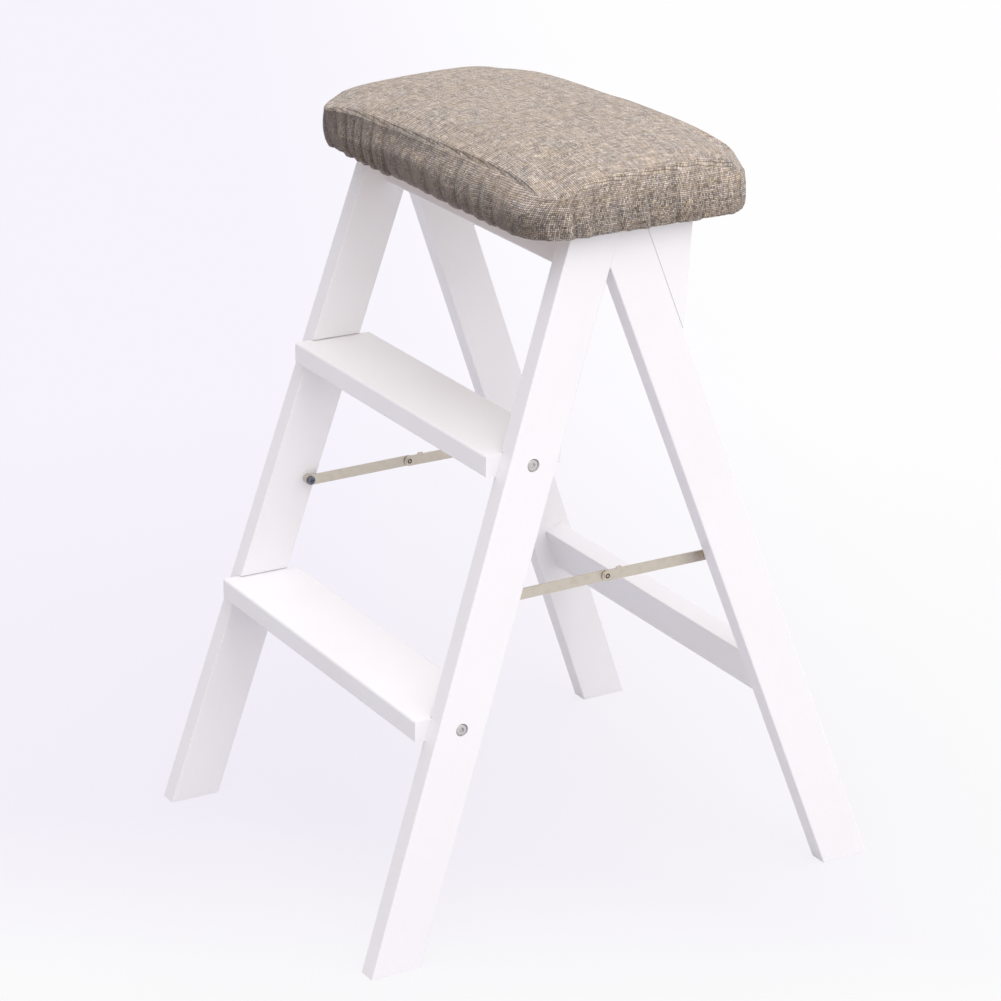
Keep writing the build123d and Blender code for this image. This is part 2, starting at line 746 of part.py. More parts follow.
def crowned(grow, z0):
    """Rounded prism with a top crowned both ways and rounded shoulders."""
    width = seat_board_width + grow + grow
    depth = seat_board_depth + grow + grow
    top = foam_top_z + foam_crown_x + foam_crown_y + grow
    body = rounded_prism(width, depth, seat_corner_radius + grow, z0, top + foam_crown_y)
    half_width = width * half_share
    half_depth = depth * half_share
    radius_x = (half_width**2 + foam_crown_x**2) * half_share / foam_crown_x
    radius_y = (half_depth**2 + foam_crown_y**2) * half_share / foam_crown_y
    axis_z = top - radius_y
    edge_z = top - (radius_x - math.sqrt(radius_x**2 - width**2))
    section = Plane(origin=(0, seat_y, 0), x_dir=(1, 0, 0), z_dir=(0, -1, 0))
    crown_arc = ThreePointArc((-width, edge_z), (0, top), (width, edge_z))
    sides_line = Polyline((width, edge_z), (width, axis_z), (-width, axis_z), (-width, edge_z))
    profile = section * make_face((crown_arc + sides_line).edges())
    drum = revolve(profile, Axis((0, seat_y, axis_z), (1, 0, 0)), revolution_arc=full_turn_deg)
    body = biggest(body & drum)
    shoulder = body.faces().sort_by(Axis.Z)[-1].edges()
    return fillet(shoulder, foam_shoulder + grow)


seat_board = rounded_prism(
    seat_board_width, seat_board_depth, seat_corner_radius, frame_top_z, board_top_z
)
seat_board = fillet(seat_board.edges().group_by(Axis.Z)[0], seat_board_arris)
foam = crowned(0, board_top_z)
hem_z = frame_top_z - hem_drop
cover_outer = crowned(cover_play + cover_thickness, hem_z)
cover_inner = crowned(cover_play, frame_top_z - cover_play)
hem_open = rounded_prism(
    seat_board_width - hem_reach - hem_reach,
    seat_board_depth - hem_reach - hem_reach,
    seat_corner_radius - hem_reach,
    hem_z - hem_drop,
    frame_top_z,
)
cover = biggest(cover_outer - cover_inner - hem_open)
elastic_outer = rounded_prism(
    seat_board_width - hem_reach - hem_reach,
    seat_board_depth - hem_reach - hem_reach,
    seat_corner_radius - hem_reach,
    hem_z + fit_gap,
    frame_top_z - cover_play,
)
elastic_inner = rounded_prism(
    seat_board_width - hem_reach - hem_reach - elastic_width,
    seat_board_depth - hem_reach - hem_reach - elastic_width,
    seat_corner_radius - hem_reach - elastic_width,
    hem_z,
    frame_top_z,
)
elastic = biggest(elastic_outer - elastic_inner)

# Screws through the seat board into the stiles and the apron.
seat_screws = []
down = (0, 0, -1)
top_along_mid = (frame_top_z + stile_mid * math.sin(front_lean)) / math.cos(front_lean)
screw_spots = []
for side, sign in sides.items():
    x_mid = front_outer(top_along_mid) - front_face_run * half_share
    screw_spots.append((side, sign * x_mid, front_point(0, top_along_mid, stile_mid).Y))
    apron_along = (frame_top_z + apron_mid * math.sin(front_lean)) / math.cos(front_lean)
    x_apron = seat_screw_apron_share * front_inner(apron_along)
    screw_spots.append(("apron", sign * x_apron, front_point(0, apron_along, apron_mid).Y))
for where, x, y in screw_spots:
    seat = (x, y, board_top_z)
    out = (seat, down, seat_csk_head_dia, seat_csk_depth, screw_shank_dia, seat_screw_length)
    screw = csk_screw(*out, 0)
    screw = screw - cross_slot(seat, down, (1, 0, 0), cross_slot_depth)
    seat_screws.append(screw)
    cutter = csk_screw(*out, fit_gap + fit_gap)
    seat_board = seat_board - cutter
    if where == "apron":
        apron = apron - cutter
    else:
        stiles[where] = stiles[where] - cutter

# Write every node.
for side in sides:
    save(f"stile_{side}", biggest(stiles[side]))
    save(f"rear_leg_{side}", biggest(legs[side]))
    save(f"wedge_{side}", biggest(wedges[side]))
    save(f"hinge_front_leaf_{side}", biggest(front_leaves[side]))
    save(f"hinge_rear_leaf_{side}", biggest(rear_leaves[side]))
for name, tread in treads.items():
    save(f"tread_{name}", biggest(tread))
for name, shape in stay_nodes.items():
    save(name, biggest(shape))
save("front_apron", biggest(apron))
save("top_rail", biggest(top_rail))
save("cross_rail", biggest(cross_rail))
save("seat_board", biggest(seat_board))
save("seat_foam", biggest(foam))
save("seat_cover", cover)
save("skirt_elastic", elastic)
save("tread_bolts", group(tread_bolts))
save("barrel_nuts", group(barrel_nuts))
save("apron_dowels", group(apron_dowels))
save("top_rail_dowels", group(top_rail_dowels))
save("cross_rail_dowels", group(cross_rail_dowels))
save("hinge_pins", group(hinge_pins))
save("hinge_front_screws", group(front_leaf_screws))
save("hinge_rear_screws", group(rear_leaf_screws))
save("wedge_screws", group(wedge_screws))
save("seat_screws", group(seat_screws))
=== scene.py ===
"""Looks of the folding ladder stool: painted boards, plated stays and a gathered tweed cushion."""

import json
import logging
import math
from dataclasses import dataclass, field
from enum import Enum

import bmesh
import bpy
import numpy as np
from mathutils import Matrix, Vector

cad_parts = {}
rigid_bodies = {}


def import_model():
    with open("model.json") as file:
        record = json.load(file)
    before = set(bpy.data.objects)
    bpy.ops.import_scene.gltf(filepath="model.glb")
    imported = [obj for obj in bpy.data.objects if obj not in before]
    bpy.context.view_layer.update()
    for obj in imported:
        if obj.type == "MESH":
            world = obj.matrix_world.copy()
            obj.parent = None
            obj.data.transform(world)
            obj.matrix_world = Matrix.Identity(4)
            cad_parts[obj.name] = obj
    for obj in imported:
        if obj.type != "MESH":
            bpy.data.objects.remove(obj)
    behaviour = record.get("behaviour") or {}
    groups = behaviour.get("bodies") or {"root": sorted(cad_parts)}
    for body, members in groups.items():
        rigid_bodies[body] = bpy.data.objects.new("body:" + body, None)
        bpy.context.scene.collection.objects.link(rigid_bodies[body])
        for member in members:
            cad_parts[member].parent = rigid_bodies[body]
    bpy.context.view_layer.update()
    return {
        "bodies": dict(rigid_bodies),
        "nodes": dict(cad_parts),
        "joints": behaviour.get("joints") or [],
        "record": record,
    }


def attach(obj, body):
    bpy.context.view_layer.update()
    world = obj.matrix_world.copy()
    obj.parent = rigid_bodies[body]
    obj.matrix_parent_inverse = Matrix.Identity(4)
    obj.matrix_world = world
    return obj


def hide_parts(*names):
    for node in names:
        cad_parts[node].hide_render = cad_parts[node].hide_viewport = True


LOG = logging.getLogger("stool")
MM = 0.001
IMAGE_PX = 1001
UNSCALED = (1.0, 1.0, 1.0)
COLOR_MIX_INPUTS = (0, 6, 7)
COLOR_MIX_OUTPUT = 2
CLOTH_SETTINGS = {
    "quality": 6,
    "mass": 0.35,
    "tension_stiffness": 18.0,
    "compression_stiffness": 18.0,
    "shear_stiffness": 8.0,
    "bending_stiffness": 1.2,
    "vertex_group_mass": "held",
    "use_pressure": True,
}

Color = tuple[float, float, float, float]
Triple = tuple[float, float, float]
Material = bpy.types.Material
MeshObject = bpy.types.Object
Socket = bpy.types.NodeSocket


class Grain(Enum):
    """Which way a board's grain runs, as the turn about X that brings it to local Z."""

    UP_FRONT = 17.8
    UP_REAR = -21.1
    ACROSS = 0.0


class Plating(Enum):
    """The plated finishes of the small metal parts."""

    WARM_NICKEL = "warm_nickel"
    BRIGHT_NICKEL = "nickel_steel"
    ZINC = "zinc_steel"
    DARK_ZINC = "dark_zinc"


@dataclass
class NodeGraph:
    """A node tree with short helpers."""

    name: str
    tree: bpy.types.NodeTree = field(init=False)
    shader: bpy.types.Node = field(init=False)

    def add(self, kind: str, **values: object) -> bpy.types.Node:
        """Adds a node and sets its properties.

        Args:
            kind: the node's type without its prefix.
            values: properties of the node.

        Returns:
            The new node.
        """
        node = self.tree.nodes.new("ShaderNode" + kind)
        for key, value in values.items():
            setattr(node, key, value)
        return node

    def link(self, source: Socket, target: Socket) -> None:
        """Joins two sockets."""
        self.tree.links.new(source, target)

    def feed(self, target: Socket, value: object) -> None:
        """Sets a socket to a value, or joins it to another socket.

        Args:
            target: the socket that is set.
            value: a number, a vector, a colour or a socket.
        """
        if isinstance(value, Socket):
            self.link(value, target)
        else:
            target.default_value = value

    def surface(self, name: str, value: object) -> None:
        """Feeds one of the shader's inputs."""
        self.feed(self.shader.inputs[name], value)

    def times(self, a: object, b: object) -> Socket:
        """The product of two values."""
        return self.maths("MULTIPLY", a, b)

    def split(self, vector: Socket) -> list[Socket]:
        """A vector's three parts.

        Args:
            vector: what is taken apart.

        Returns:
            The sockets of x, y and z.
        """
        node = self.add("SeparateXYZ")
        self.link(vector, node.inputs[0])
        return list(node.outputs)

    def join(self, x: object, y: object, z: float = 0.0) -> Socket:
        """A vector from three parts.

        Args:
            x: first part, a number or a socket.
            y: second part.
            z: third part.

        Returns:
            The vector's socket.
        """
        node = self.add("CombineXYZ")
        for socket, value in zip(node.inputs, (x, y, z)):
            self.feed(socket, value)
        return node.outputs[0]

    def draw(self, vector: Socket) -> Socket:
        """A random number for each place in a plane.

        Args:
            vector: the place.

        Returns:
            The number's socket.
        """
        node = self.add("TexWhiteNoise", noise_dimensions="2D")
        self.link(vector, node.inputs["Vector"])
        return node.outputs[0]

    def maths(self, operation: str, a: object, b: object = 0.0, c: object = 0.0) -> Socket:
        """A Math node.

        Args:
            operation: its operation.
            a: first input, a number or a socket.
            b: second input.
            c: third input.

        Returns:
            The result's socket.
        """
        node = self.add("Math", operation=operation)
        for socket, value in zip(node.inputs, (a, b, c)):
            self.feed(socket, value)
        return node.outputs[0]

    def mix(self, share: object, a: object, b: object, blend: str = "MIX") -> Socket:
        """A colour Mix node.

        Args:
            share: how much of b.
            a: first colour, four numbers or a socket.
            b: second colour.
            blend: how they are mixed.

        Returns:
            The mixed colour's socket.
        """
        node = self.add("Mix", data_type="RGBA", blend_type=blend)
        for number, value in zip(COLOR_MIX_INPUTS, (share, a, b)):
            self.feed(node.inputs[number], value)
        return node.outputs[COLOR_MIX_OUTPUT]

    def noise(self, vector: Socket, scale: float, detail: float = 4.0, rough: float = 0.5) -> Socket:
        """A Noise texture's value.

        Args:
            vector: where it is read.
            scale: its scale.
            detail: its detail.
            rough: its roughness.

        Returns:
            The value's socket.
        """
        node = self.add("TexNoise")
        self.link(vector, node.inputs["Vector"])
        node.inputs["Scale"].default_value = scale
        node.inputs["Detail"].default_value = detail
        node.inputs["Roughness"].default_value = rough
        return node.outputs[0]

    def remap(self, value: Socket, low: float, high: float, to_low: float, to_high: float) -> Socket:
        """A clamped Map Range.

        Args:
            value: what is mapped.
            low: start of its range.
            high: end of its range.
            to_low: what the start becomes.
            to_high: what the end becomes.

        Returns:
            The mapped value's socket.
        """
        node = self.add("MapRange")
        for socket, number in zip(node.inputs, (value, low, high, to_low, to_high)):
            self.feed(socket, number)
        return node.outputs[0]

    def mapped(self, turn_deg: float, scale: Triple) -> Socket:
        """Object coordinates, turned about X and scaled.

        Args:
            turn_deg: the turn about X.
            scale: scale on each axis.

        Returns:
            The vector's socket.
        """
        place = self.add("TexCoord")
        turn = self.add("Mapping")
        turn.inputs["Rotation"].default_value = (math.radians(turn_deg), 0.0, 0.0)
        self.link(place.outputs["Object"], turn.inputs["Vector"])
        stretch = self.add("Mapping")
        stretch.inputs["Scale"].default_value = scale
        self.link(turn.outputs[0], stretch.inputs["Vector"])
        return stretch.outputs[0]

    def bump(self, height: Socket, distance: float, strength: float = 1.0, after: object = None) -> Socket:
        """A Bump node.

        Args:
            height: the relief.
            distance: its depth in metres.
            strength: its strength.
            after: the normal of another Bump, if there is one.

        Returns:
            The normal's socket.
        """
        node = self.add("Bump")
        node.inputs["Strength"].default_value = strength
        node.inputs["Distance"].default_value = distance
        self.link(height, node.inputs["Height"])
        if after is not None:
            self.link(after, node.inputs["Normal"])
        return node.outputs[0]


@dataclass
class MaterialGraph(NodeGraph):
    """A new material's node tree."""

    material: Material = field(init=False)

    def __post_init__(self) -> None:
        """Makes the material with an empty tree, a shader and an output."""
        self.material = bpy.data.materials.new(self.name)
        self.material.use_nodes = True
        self.tree = self.material.node_tree
        self.tree.nodes.clear()
        output = self.add("OutputMaterial")
        self.shader = self.add("BsdfPrincipled")
        self.link(self.shader.outputs[0], output.inputs[0])


@dataclass
class WorldGraph(NodeGraph):
    """The world's node tree, whose shader is its background."""

    def __post_init__(self) -> None:
        """Makes the world."""
        world = bpy.data.worlds.new(self.name)
        bpy.context.scene.world = world
        world.use_nodes = True
        self.tree = world.node_tree
        self.shader = self.tree.nodes["Background"]


@dataclass(frozen=True)
class PaintFinish:
    """White semi-gloss paint over fine-grained wood."""

    grain: Grain
    color: Color = (0.885, 0.87, 0.885, 1.0)
    shade: Color = (0.84, 0.823, 0.826, 1.0)
    roughness: float = 0.34
    coat: float = 0.18
    coat_roughness: float = 0.22
    scale_along: float = 9.0
    scale_across: float = 260.0
    brush_scale: float = 3.1
    cloud_scale: float = 7.0
    fleck_scale: float = 520.0

    def build(self) -> Material:
        """Makes the material.

        Returns:
            The paint.
        """
        g = MaterialGraph(f"white_paint_{self.grain.name.lower()}")
        long, fine = self.scale_along, self.scale_across
        stretch = (long, fine, fine) if self.grain is Grain.ACROSS else (fine, fine, long)
        grain = g.noise(g.mapped(self.grain.value, stretch), 1.0, 5.0, 0.6)
        brush_stretch = tuple(v * self.brush_scale for v in stretch)
        brush = g.noise(g.mapped(self.grain.value, brush_stretch), 1.0, 3.0, 0.5)
        place = g.mapped(0.0, UNSCALED)
        cloud = g.noise(place, self.cloud_scale, 3.0)
        fleck = g.noise(place, self.fleck_scale, 2.0)
        tone = g.mix(g.remap(cloud, 0.38, 0.7, 0.0, 0.55), self.color, self.shade)
        g.surface("Base Color", g.mix(g.remap(grain, 0.55, 0.8, 0.0, 0.22), tone, self.shade))
        cloudy = g.remap(cloud, 0.3, 0.7, self.roughness - 0.05, self.roughness + 0.07)
        g.surface("Roughness", g.maths("ADD", cloudy, g.remap(fleck, 0.4, 0.7, 0.0, 0.04)))
        relief = g.bump(grain, 0.22 * MM, 0.5)
        relief = g.bump(brush, 0.07 * MM, 0.5, relief)
        g.surface("Normal", g.bump(fleck, 0.03 * MM, 0.4, relief))
        g.surface("Coat Weight", self.coat)
        g.surface("Coat Roughness", self.coat_roughness)
        return g.material


@dataclass(frozen=True)
class BareWoodFinish:
    """Sawn or turned wood with no paint."""

    name: str
    light: Color = (0.62, 0.44, 0.26, 1.0)
    dark: Color = (0.42, 0.27, 0.14, 1.0)
    stretch: Triple = (12.0, 160.0, 160.0)
    pore_scale: float = 5.0

    def build(self) -> Material:
        """Makes the material.

        Returns:
            The bare wood.
        """
        g = MaterialGraph(self.name)
        place = g.mapped(0.0, self.stretch)
        rings = g.noise(place, 1.0, 6.0, 0.65)
        pores = g.noise(place, self.pore_scale, 3.0, 0.5)
        g.surface("Base Color", g.mix(g.remap(rings, 0.35, 0.68, 0.0, 1.0), self.light, self.dark))
        g.surface("Roughness", g.remap(pores, 0.3, 0.7, 0.55, 0.8))
        g.surface("Normal", g.bump(pores, 0.12 * MM, 0.7, g.bump(rings, 0.2 * MM, 0.4)))
        return g.material


@dataclass(frozen=True)
class PlatedFinish:
    """Plated steel with fine rolling marks and light handling wear."""

    kind: Plating
    color: Color
    dull: Color
    roughness: float = 0.3
    roll_stretch: Triple = (700.0, 60.0, 900.0)
    spot_scale: float = 160.0

    def build(self) -> Material:
        """Makes the material.

        Returns:
            The plated steel.
        """
        g = MaterialGraph(self.kind.value)
        roll = g.noise(g.mapped(0.0, self.roll_stretch), 1.0, 4.0, 0.6)
        spots = g.noise(g.mapped(0.0, UNSCALED), self.spot_scale, 4.0, 0.6)
        g.surface("Base Color", g.mix(g.remap(spots, 0.5, 0.8, 0.0, 0.4), self.color, self.dull))
        rolled = g.remap(roll, 0.3, 0.7, self.roughness - 0.06, self.roughness + 0.1)
        g.surface("Roughness", g.maths("ADD", rolled, g.remap(spots, 0.5, 0.8, 0.0, 0.15)))
        g.surface("Normal", g.bump(roll, 0.03 * MM, 0.6))
        g.surface("Metallic", 1.0)
        return g.material


@dataclass(frozen=True)
class RivetFinish:
    """Plated steel with a shadowed ring round the core of a hollow rivet's head."""

    name: str
    centre: Triple
    color: Color = (0.63, 0.575, 0.5, 1.0)
    shadow: Color = (0.05, 0.04, 0.035, 1.0)
    ring: float = 1.6 * MM
    ring_core: float = 0.45 * MM
    ring_edge: float = 0.85 * MM

    def build(self) -> Material:
        """Makes the material.

        Returns:
            The rivet's steel.
        """
        g = MaterialGraph(self.name)
        place = g.split(g.add("TexCoord").outputs["Object"])
        across, up = (g.maths("POWER", g.maths("SUBTRACT", place[k], self.centre[k]), 2.0) for k in (1, 2))
        away = g.maths("SQRT", g.maths("ADD", across, up))
        beside = g.maths("ABSOLUTE", g.maths("SUBTRACT", away, self.ring))
        shaded = g.remap(beside, self.ring_core, self.ring_edge, 0.92, 0.0)
        g.surface("Base Color", g.mix(shaded, self.color, self.shadow))
        g.surface("Roughness", g.remap(beside, self.ring_core, self.ring_edge, 0.7, 0.34))
        g.surface("Metallic", 1.0)
        return g.material


@dataclass(frozen=True)
class TweedFinish:
    """Coarse linen tweed, woven from uneven warm grey, beige and blue-grey yarns."""

    name: str = "tweed_weave"
    pitch: float = 1.55 * MM
    light: Color = (0.81, 0.70, 0.635, 1.0)
    sand: Color = (0.56, 0.43, 0.31, 1.0)
    straw: Color = (0.82, 0.71, 0.45, 1.0)
    grey: Color = (0.36, 0.36, 0.34, 1.0)
    dark: Color = (0.075, 0.055, 0.042, 1.0)
    wander: float = 1.6
    wander_scale: float = 55.0
    warp_seed: float = 1.0
    warp_slubs: float = 0.5
    weft_seed: float = 23.0
    weft_slubs: float = 0.95
    flecks: tuple[tuple[float, ...], ...] = ((0.55, 0.15, 3.0, 0.68, 1.22), (0.13, 0.55, 9.0, 0.74, 1.16))
    slub_spot: tuple[float, float] = (0.731, 0.085)
    twist_spot: tuple[float, float] = (1.37, 0.3)
    twist_seed: float = 7.3
    patch_scale: float = 30.0
    fuzz_scale: float = 2600.0
    roughness: float = 0.92
    specular: float = 0.18
    sheen: float = 0.22
    sheen_roughness: float = 0.5

    def yarn(
        self, g: NodeGraph, across: Socket, along: Socket, seed: float, slubs: float
    ) -> tuple[Socket, Socket]:
        """One set of yarns.

        Args:
            g: the graph.
            across: place across the yarns, in pitches.
            along: place along the yarns, in pitches.
            seed: makes the two sets differ.
            slubs: how strongly the yarn's colour changes along its length.

        Returns:
            The yarn's colour and its round profile.
        """
        number = g.maths("FLOOR", across)
        profile = g.maths("SINE", g.times(g.maths("FRACT", across), math.pi))
        by_number, by_length = self.slub_spot
        place = g.join(g.times(number, by_number), g.times(along, by_length), seed)
        slub = g.noise(place, 1.0, 2.0, 0.55)
        by_number, by_length = self.twist_spot
        place = g.join(g.times(number, by_number), g.times(along, by_length), seed + self.twist_seed)
        twist = g.noise(place, 1.0, 2.0, 0.6)
        pick = g.draw(g.join(number, seed))
        color = g.mix(g.remap(pick, 0.45, 0.95, 0.0, 0.9), self.light, self.sand)
        color = g.mix(g.remap(slub, 0.52, 0.66, 0.0, slubs), color, self.grey)
        color = g.mix(g.remap(slub, 0.30, 0.42, slubs, 0.0), color, self.sand)
        color = g.mix(g.remap(twist, 0.56, 0.76, 0.0, 0.85), color, self.dark)
        return color, profile

    def shading(self, g: NodeGraph, color: Socket, side: list[Socket], level: Socket) -> Socket:
        """Paints shade into the colour: darkens the upright cloth, most on the climbing side, and the
        creases, as painted shade.

        Args:
            g: the graph.
            color: the woven colour.
            side: the surface's normal, in three parts.
            level: 0 on the crown to 1 on upright cloth.

        Returns:
            The shaded colour's socket.
        """
        # Painted shade: upright cloth is darkened, more where it faces the front.
        front_shade = g.remap(g.times(side[1], -1.0), 0.2, 0.95, 0.0, 0.64)
        color = g.mix(g.times(level, g.maths("ADD", front_shade, 0.07)), color, self.dark)
        # Painted shade in the creases, read from the crease attribute.
        folds = g.add("Attribute", attribute_name="crease").outputs["Fac"]
        return g.mix(g.remap(folds, 0.0, 0.9, 0.0, 0.8), color, self.dark)

    def build(self) -> Material:
        """Makes the material.

        Returns:
            The woven cloth.
        """
        g = MaterialGraph(self.name)
        place = g.add("UVMap", uv_map="weave").outputs[0]
        wander = g.add("TexNoise")
        g.link(place, wander.inputs["Vector"])
        g.feed(wander.inputs["Scale"], self.wander_scale)
        drift = g.split(wander.outputs[1])
        u, v = (
            g.maths("MULTIPLY_ADD", part, 1.0 / self.pitch, g.times(moved, self.wander))
            for part, moved in zip(g.split(place)[:2], drift)
        )
        warp, warp_round = self.yarn(g, v, u, self.warp_seed, self.warp_slubs)
        weft, weft_round = self.yarn(g, u, v, self.weft_seed, self.weft_slubs)
        column, row = g.maths("FLOOR", u), g.maths("FLOOR", v)
        over = g.maths("MODULO", g.maths("ABSOLUTE", g.maths("ADD", column, row)), 2.0)
        color = g.mix(over, warp, weft)
        side = g.split(g.add("TexCoord").outputs["Normal"])
        level = g.remap(side[2], 0.0, 0.75, 1.0, 0.0)
        cell = g.draw(g.join(column, row))
        gaps = g.remap(cell, 0.0, 0.4, 1.0, 0.0)
        # Random dark gaps between the yarns; on upright cloth they are darkened further as painted shade.
        color = g.mix(g.times(gaps, g.maths("MULTIPLY_ADD", level, 0.45, 0.33)), color, self.dark)
        color = g.mix(g.remap(cell, 0.75, 1.0, 0.0, 0.45), color, self.light)
        chosen = g.times(g.remap(cell, 0.46, 0.48, 0.0, 0.5), g.remap(cell, 0.6, 0.62, 1.0, 0.0))
        color = g.mix(chosen, color, self.straw)
        ridge = g.times(warp_round, weft_round)
        # Dark between the round yarns: partly the dark seen through the gaps, partly painted shade in the
        # grooves.
        color = g.mix(g.remap(ridge, 0.06, 0.6, 0.85, 0.0), color, self.dark)
        for wide, high, seed, faint, strong in self.flecks:
            fleck = g.noise(g.join(g.times(u, wide), g.times(v, high), seed), 1.0, 2.0, 0.6)
            color = g.mix(1.0, color, g.remap(fleck, 0.34, 0.66, faint, strong), "MULTIPLY")
        broad = g.noise(place, self.patch_scale, 4.0, 0.6)
        color = g.mix(g.remap(broad, 0.42, 0.66, 0.0, 0.26), color, self.sand)
        color = g.mix(g.remap(broad, 0.34, 0.46, 0.17, 0.0), color, self.grey)
        g.surface("Base Color", self.shading(g, color, side, level))
        g.surface("Roughness", self.roughness)
        g.surface("Specular IOR Level", self.specular)
        g.surface("Sheen Weight", self.sheen)
        g.surface("Sheen Roughness", self.sheen_roughness)
        fuzz = g.noise(place, self.fuzz_scale, 2.0, 0.6)
        g.surface("Normal", g.bump(fuzz, 0.12 * MM, 0.6, g.bump(ridge, 0.45 * MM, 0.9)))
        return g.material


@dataclass(frozen=True)
class ThreadFinish:
    """Twisted sewing thread."""

    name: str = "sewing_thread"
    color: Color = (0.13, 0.115, 0.1, 1.0)
    light: Color = (0.26, 0.23, 0.2, 1.0)
    twist_deg: float = 35.0
    stretch: Triple = (2600.0, 2600.0, 2600.0)
    roughness: float = 0.8

    def build(self) -> Material:
        """Makes the material.

        Returns:
            The thread.
        """
        g = MaterialGraph(self.name)
        ply = g.noise(g.mapped(self.twist_deg, self.stretch), 1.0, 2.0, 0.5)
        g.surface("Base Color", g.mix(ply, self.color, self.light))
        g.surface("Roughness", self.roughness)
        g.surface("Normal", g.bump(ply, 0.1 * MM, 0.8))
        return g.material


@dataclass(frozen=True)
class ElasticFinish:
    """Braided off-white elastic."""

    name: str = "braided_elastic"
    color: Color = (0.72, 0.7, 0.65, 1.0)
    gap: Color = (0.42, 0.4, 0.36, 1.0)
    stretch: Triple = (1400.0, 1400.0, 2400.0)
    roughness: float = 0.85

    def build(self) -> Material:
        """Makes the material.

        Returns:
            The elastic.
        """
        g = MaterialGraph(self.name)
        braid = g.noise(g.mapped(0.0, self.stretch), 1.0, 3.0, 0.5)
        g.surface("Base Color", g.mix(g.remap(braid, 0.4, 0.6, 0.0, 1.0), self.color, self.gap))
        g.surface("Roughness", self.roughness)
        g.surface("Normal", g.bump(braid, 0.2 * MM, 0.8))
        return g.material


@dataclass
class Outline:
    """A rounded rectangle in plan, walked by its length from the middle of the +X side."""

    half_x: float
    half_y: float
    radius: float
    centre_y: float

    def walk(self, count: int) -> tuple[np.ndarray, np.ndarray, np.ndarray]:
        """Points evenly along the outline.

        Args:
            count: how many points.

        Returns:
            Places (n, 2), outward normals (n, 2) and lengths along the outline (n).
        """
        hx, hy, r = self.half_x, self.half_y, self.radius
        corner = math.pi * r / 2
        runs = [hy - r, corner, 2 * (hx - r), corner, 2 * (hy - r), corner, 2 * (hx - r), corner, hy - r]
        total = sum(runs)
        s_all = np.arange(count) * total / count
        places, normals = np.zeros((count, 2)), np.zeros((count, 2))
        heading, spot = math.pi / 2, np.array([hx, 0.0])
        start = 0.0
        for k, run in enumerate(runs):
            inside = (s_all >= start - 1e-12) & (s_all < start + run)
            d = s_all[inside] - start
            if k % 2 == 0:
                step = np.array([math.cos(heading), math.sin(heading)])
                places[inside] = spot + d[:, None] * step
                normals[inside] = [step[1], -step[0]]
                spot = spot + run * step
            else:
                left = heading + math.pi / 2
                centre = spot + r * np.array([math.cos(left), math.sin(left)])
                turn = heading - math.pi / 2 + d / r
                normals[inside] = np.stack([np.cos(turn), np.sin(turn)], 1)
                places[inside] = centre + r * normals[inside]
                heading += math.pi / 2
                end = heading - math.pi / 2
                spot = centre + r * np.array([math.cos(end), math.sin(end)])
            start += run
        places[:, 1] += self.centre_y
        return places, normals, s_all

    def length(self) -> float:
        """The whole length of the outline."""
        return 4 * (self.half_x + self.half_y - 2 * self.radius) + 2 * math.pi * self.radius


def new_object(name: str, verts: np.ndarray, faces: list[tuple[int, ...]]) -> MeshObject:
    """A mesh object from points and faces.

    Args:
        name: the piece's name.
        verts: points, (n, 3), in metres.
        faces: faces as vertex numbers.

    Returns:
        The new object, linked to the scene.
    """
    mesh = bpy.data.meshes.new(name)
    mesh.from_pydata([tuple(v) for v in verts], [], faces)
    mesh.update()
    obj = bpy.data.objects.new(name, mesh)
    bpy.context.scene.collection.objects.link(obj)
    return obj


def only(obj: MeshObject) -> None:
    """Selects one object alone and makes it active.

    Args:
        obj: the object.
    """
    bpy.ops.object.select_all(action="DESELECT")
    obj.select_set(True)
    bpy.context.view_layer.objects.active = obj


def face_outwards(obj: MeshObject) -> None:
    """Turns a closed piece's faces outwards and shades it smooth.

    Args:
        obj: the piece.
    """
    only(obj)
    bpy.ops.object.mode_set(mode="EDIT")
    bpy.ops.mesh.select_all(action="SELECT")
    bpy.ops.mesh.normals_make_consistent(inside=False)
    bpy.ops.object.mode_set(mode="OBJECT")
    bpy.ops.object.shade_smooth()


def apply_modifier(obj: MeshObject, kind: str, **values: object) -> None:
    """Adds a modifier, sets it and applies it.

    Args:
        obj: the piece.
        kind: the modifier's type.
        values: its settings.
    """
    modifier = obj.modifiers.new(kind.lower(), kind)
    for key, value in values.items():
        setattr(modifier, key, value)
    only(obj)
    bpy.ops.object.modifier_apply(modifier=modifier.name)


@dataclass
class Rings:
    """The cushion's rings of points, from the hidden hem lip to near the crown's middle."""

    points: np.ndarray
    weave: np.ndarray
    kinds: list[str]
    fine: list[bool]

    def seam(self) -> int:
        """The number of the ring that lies in the seam."""
        return self.kinds.index("top") - 1


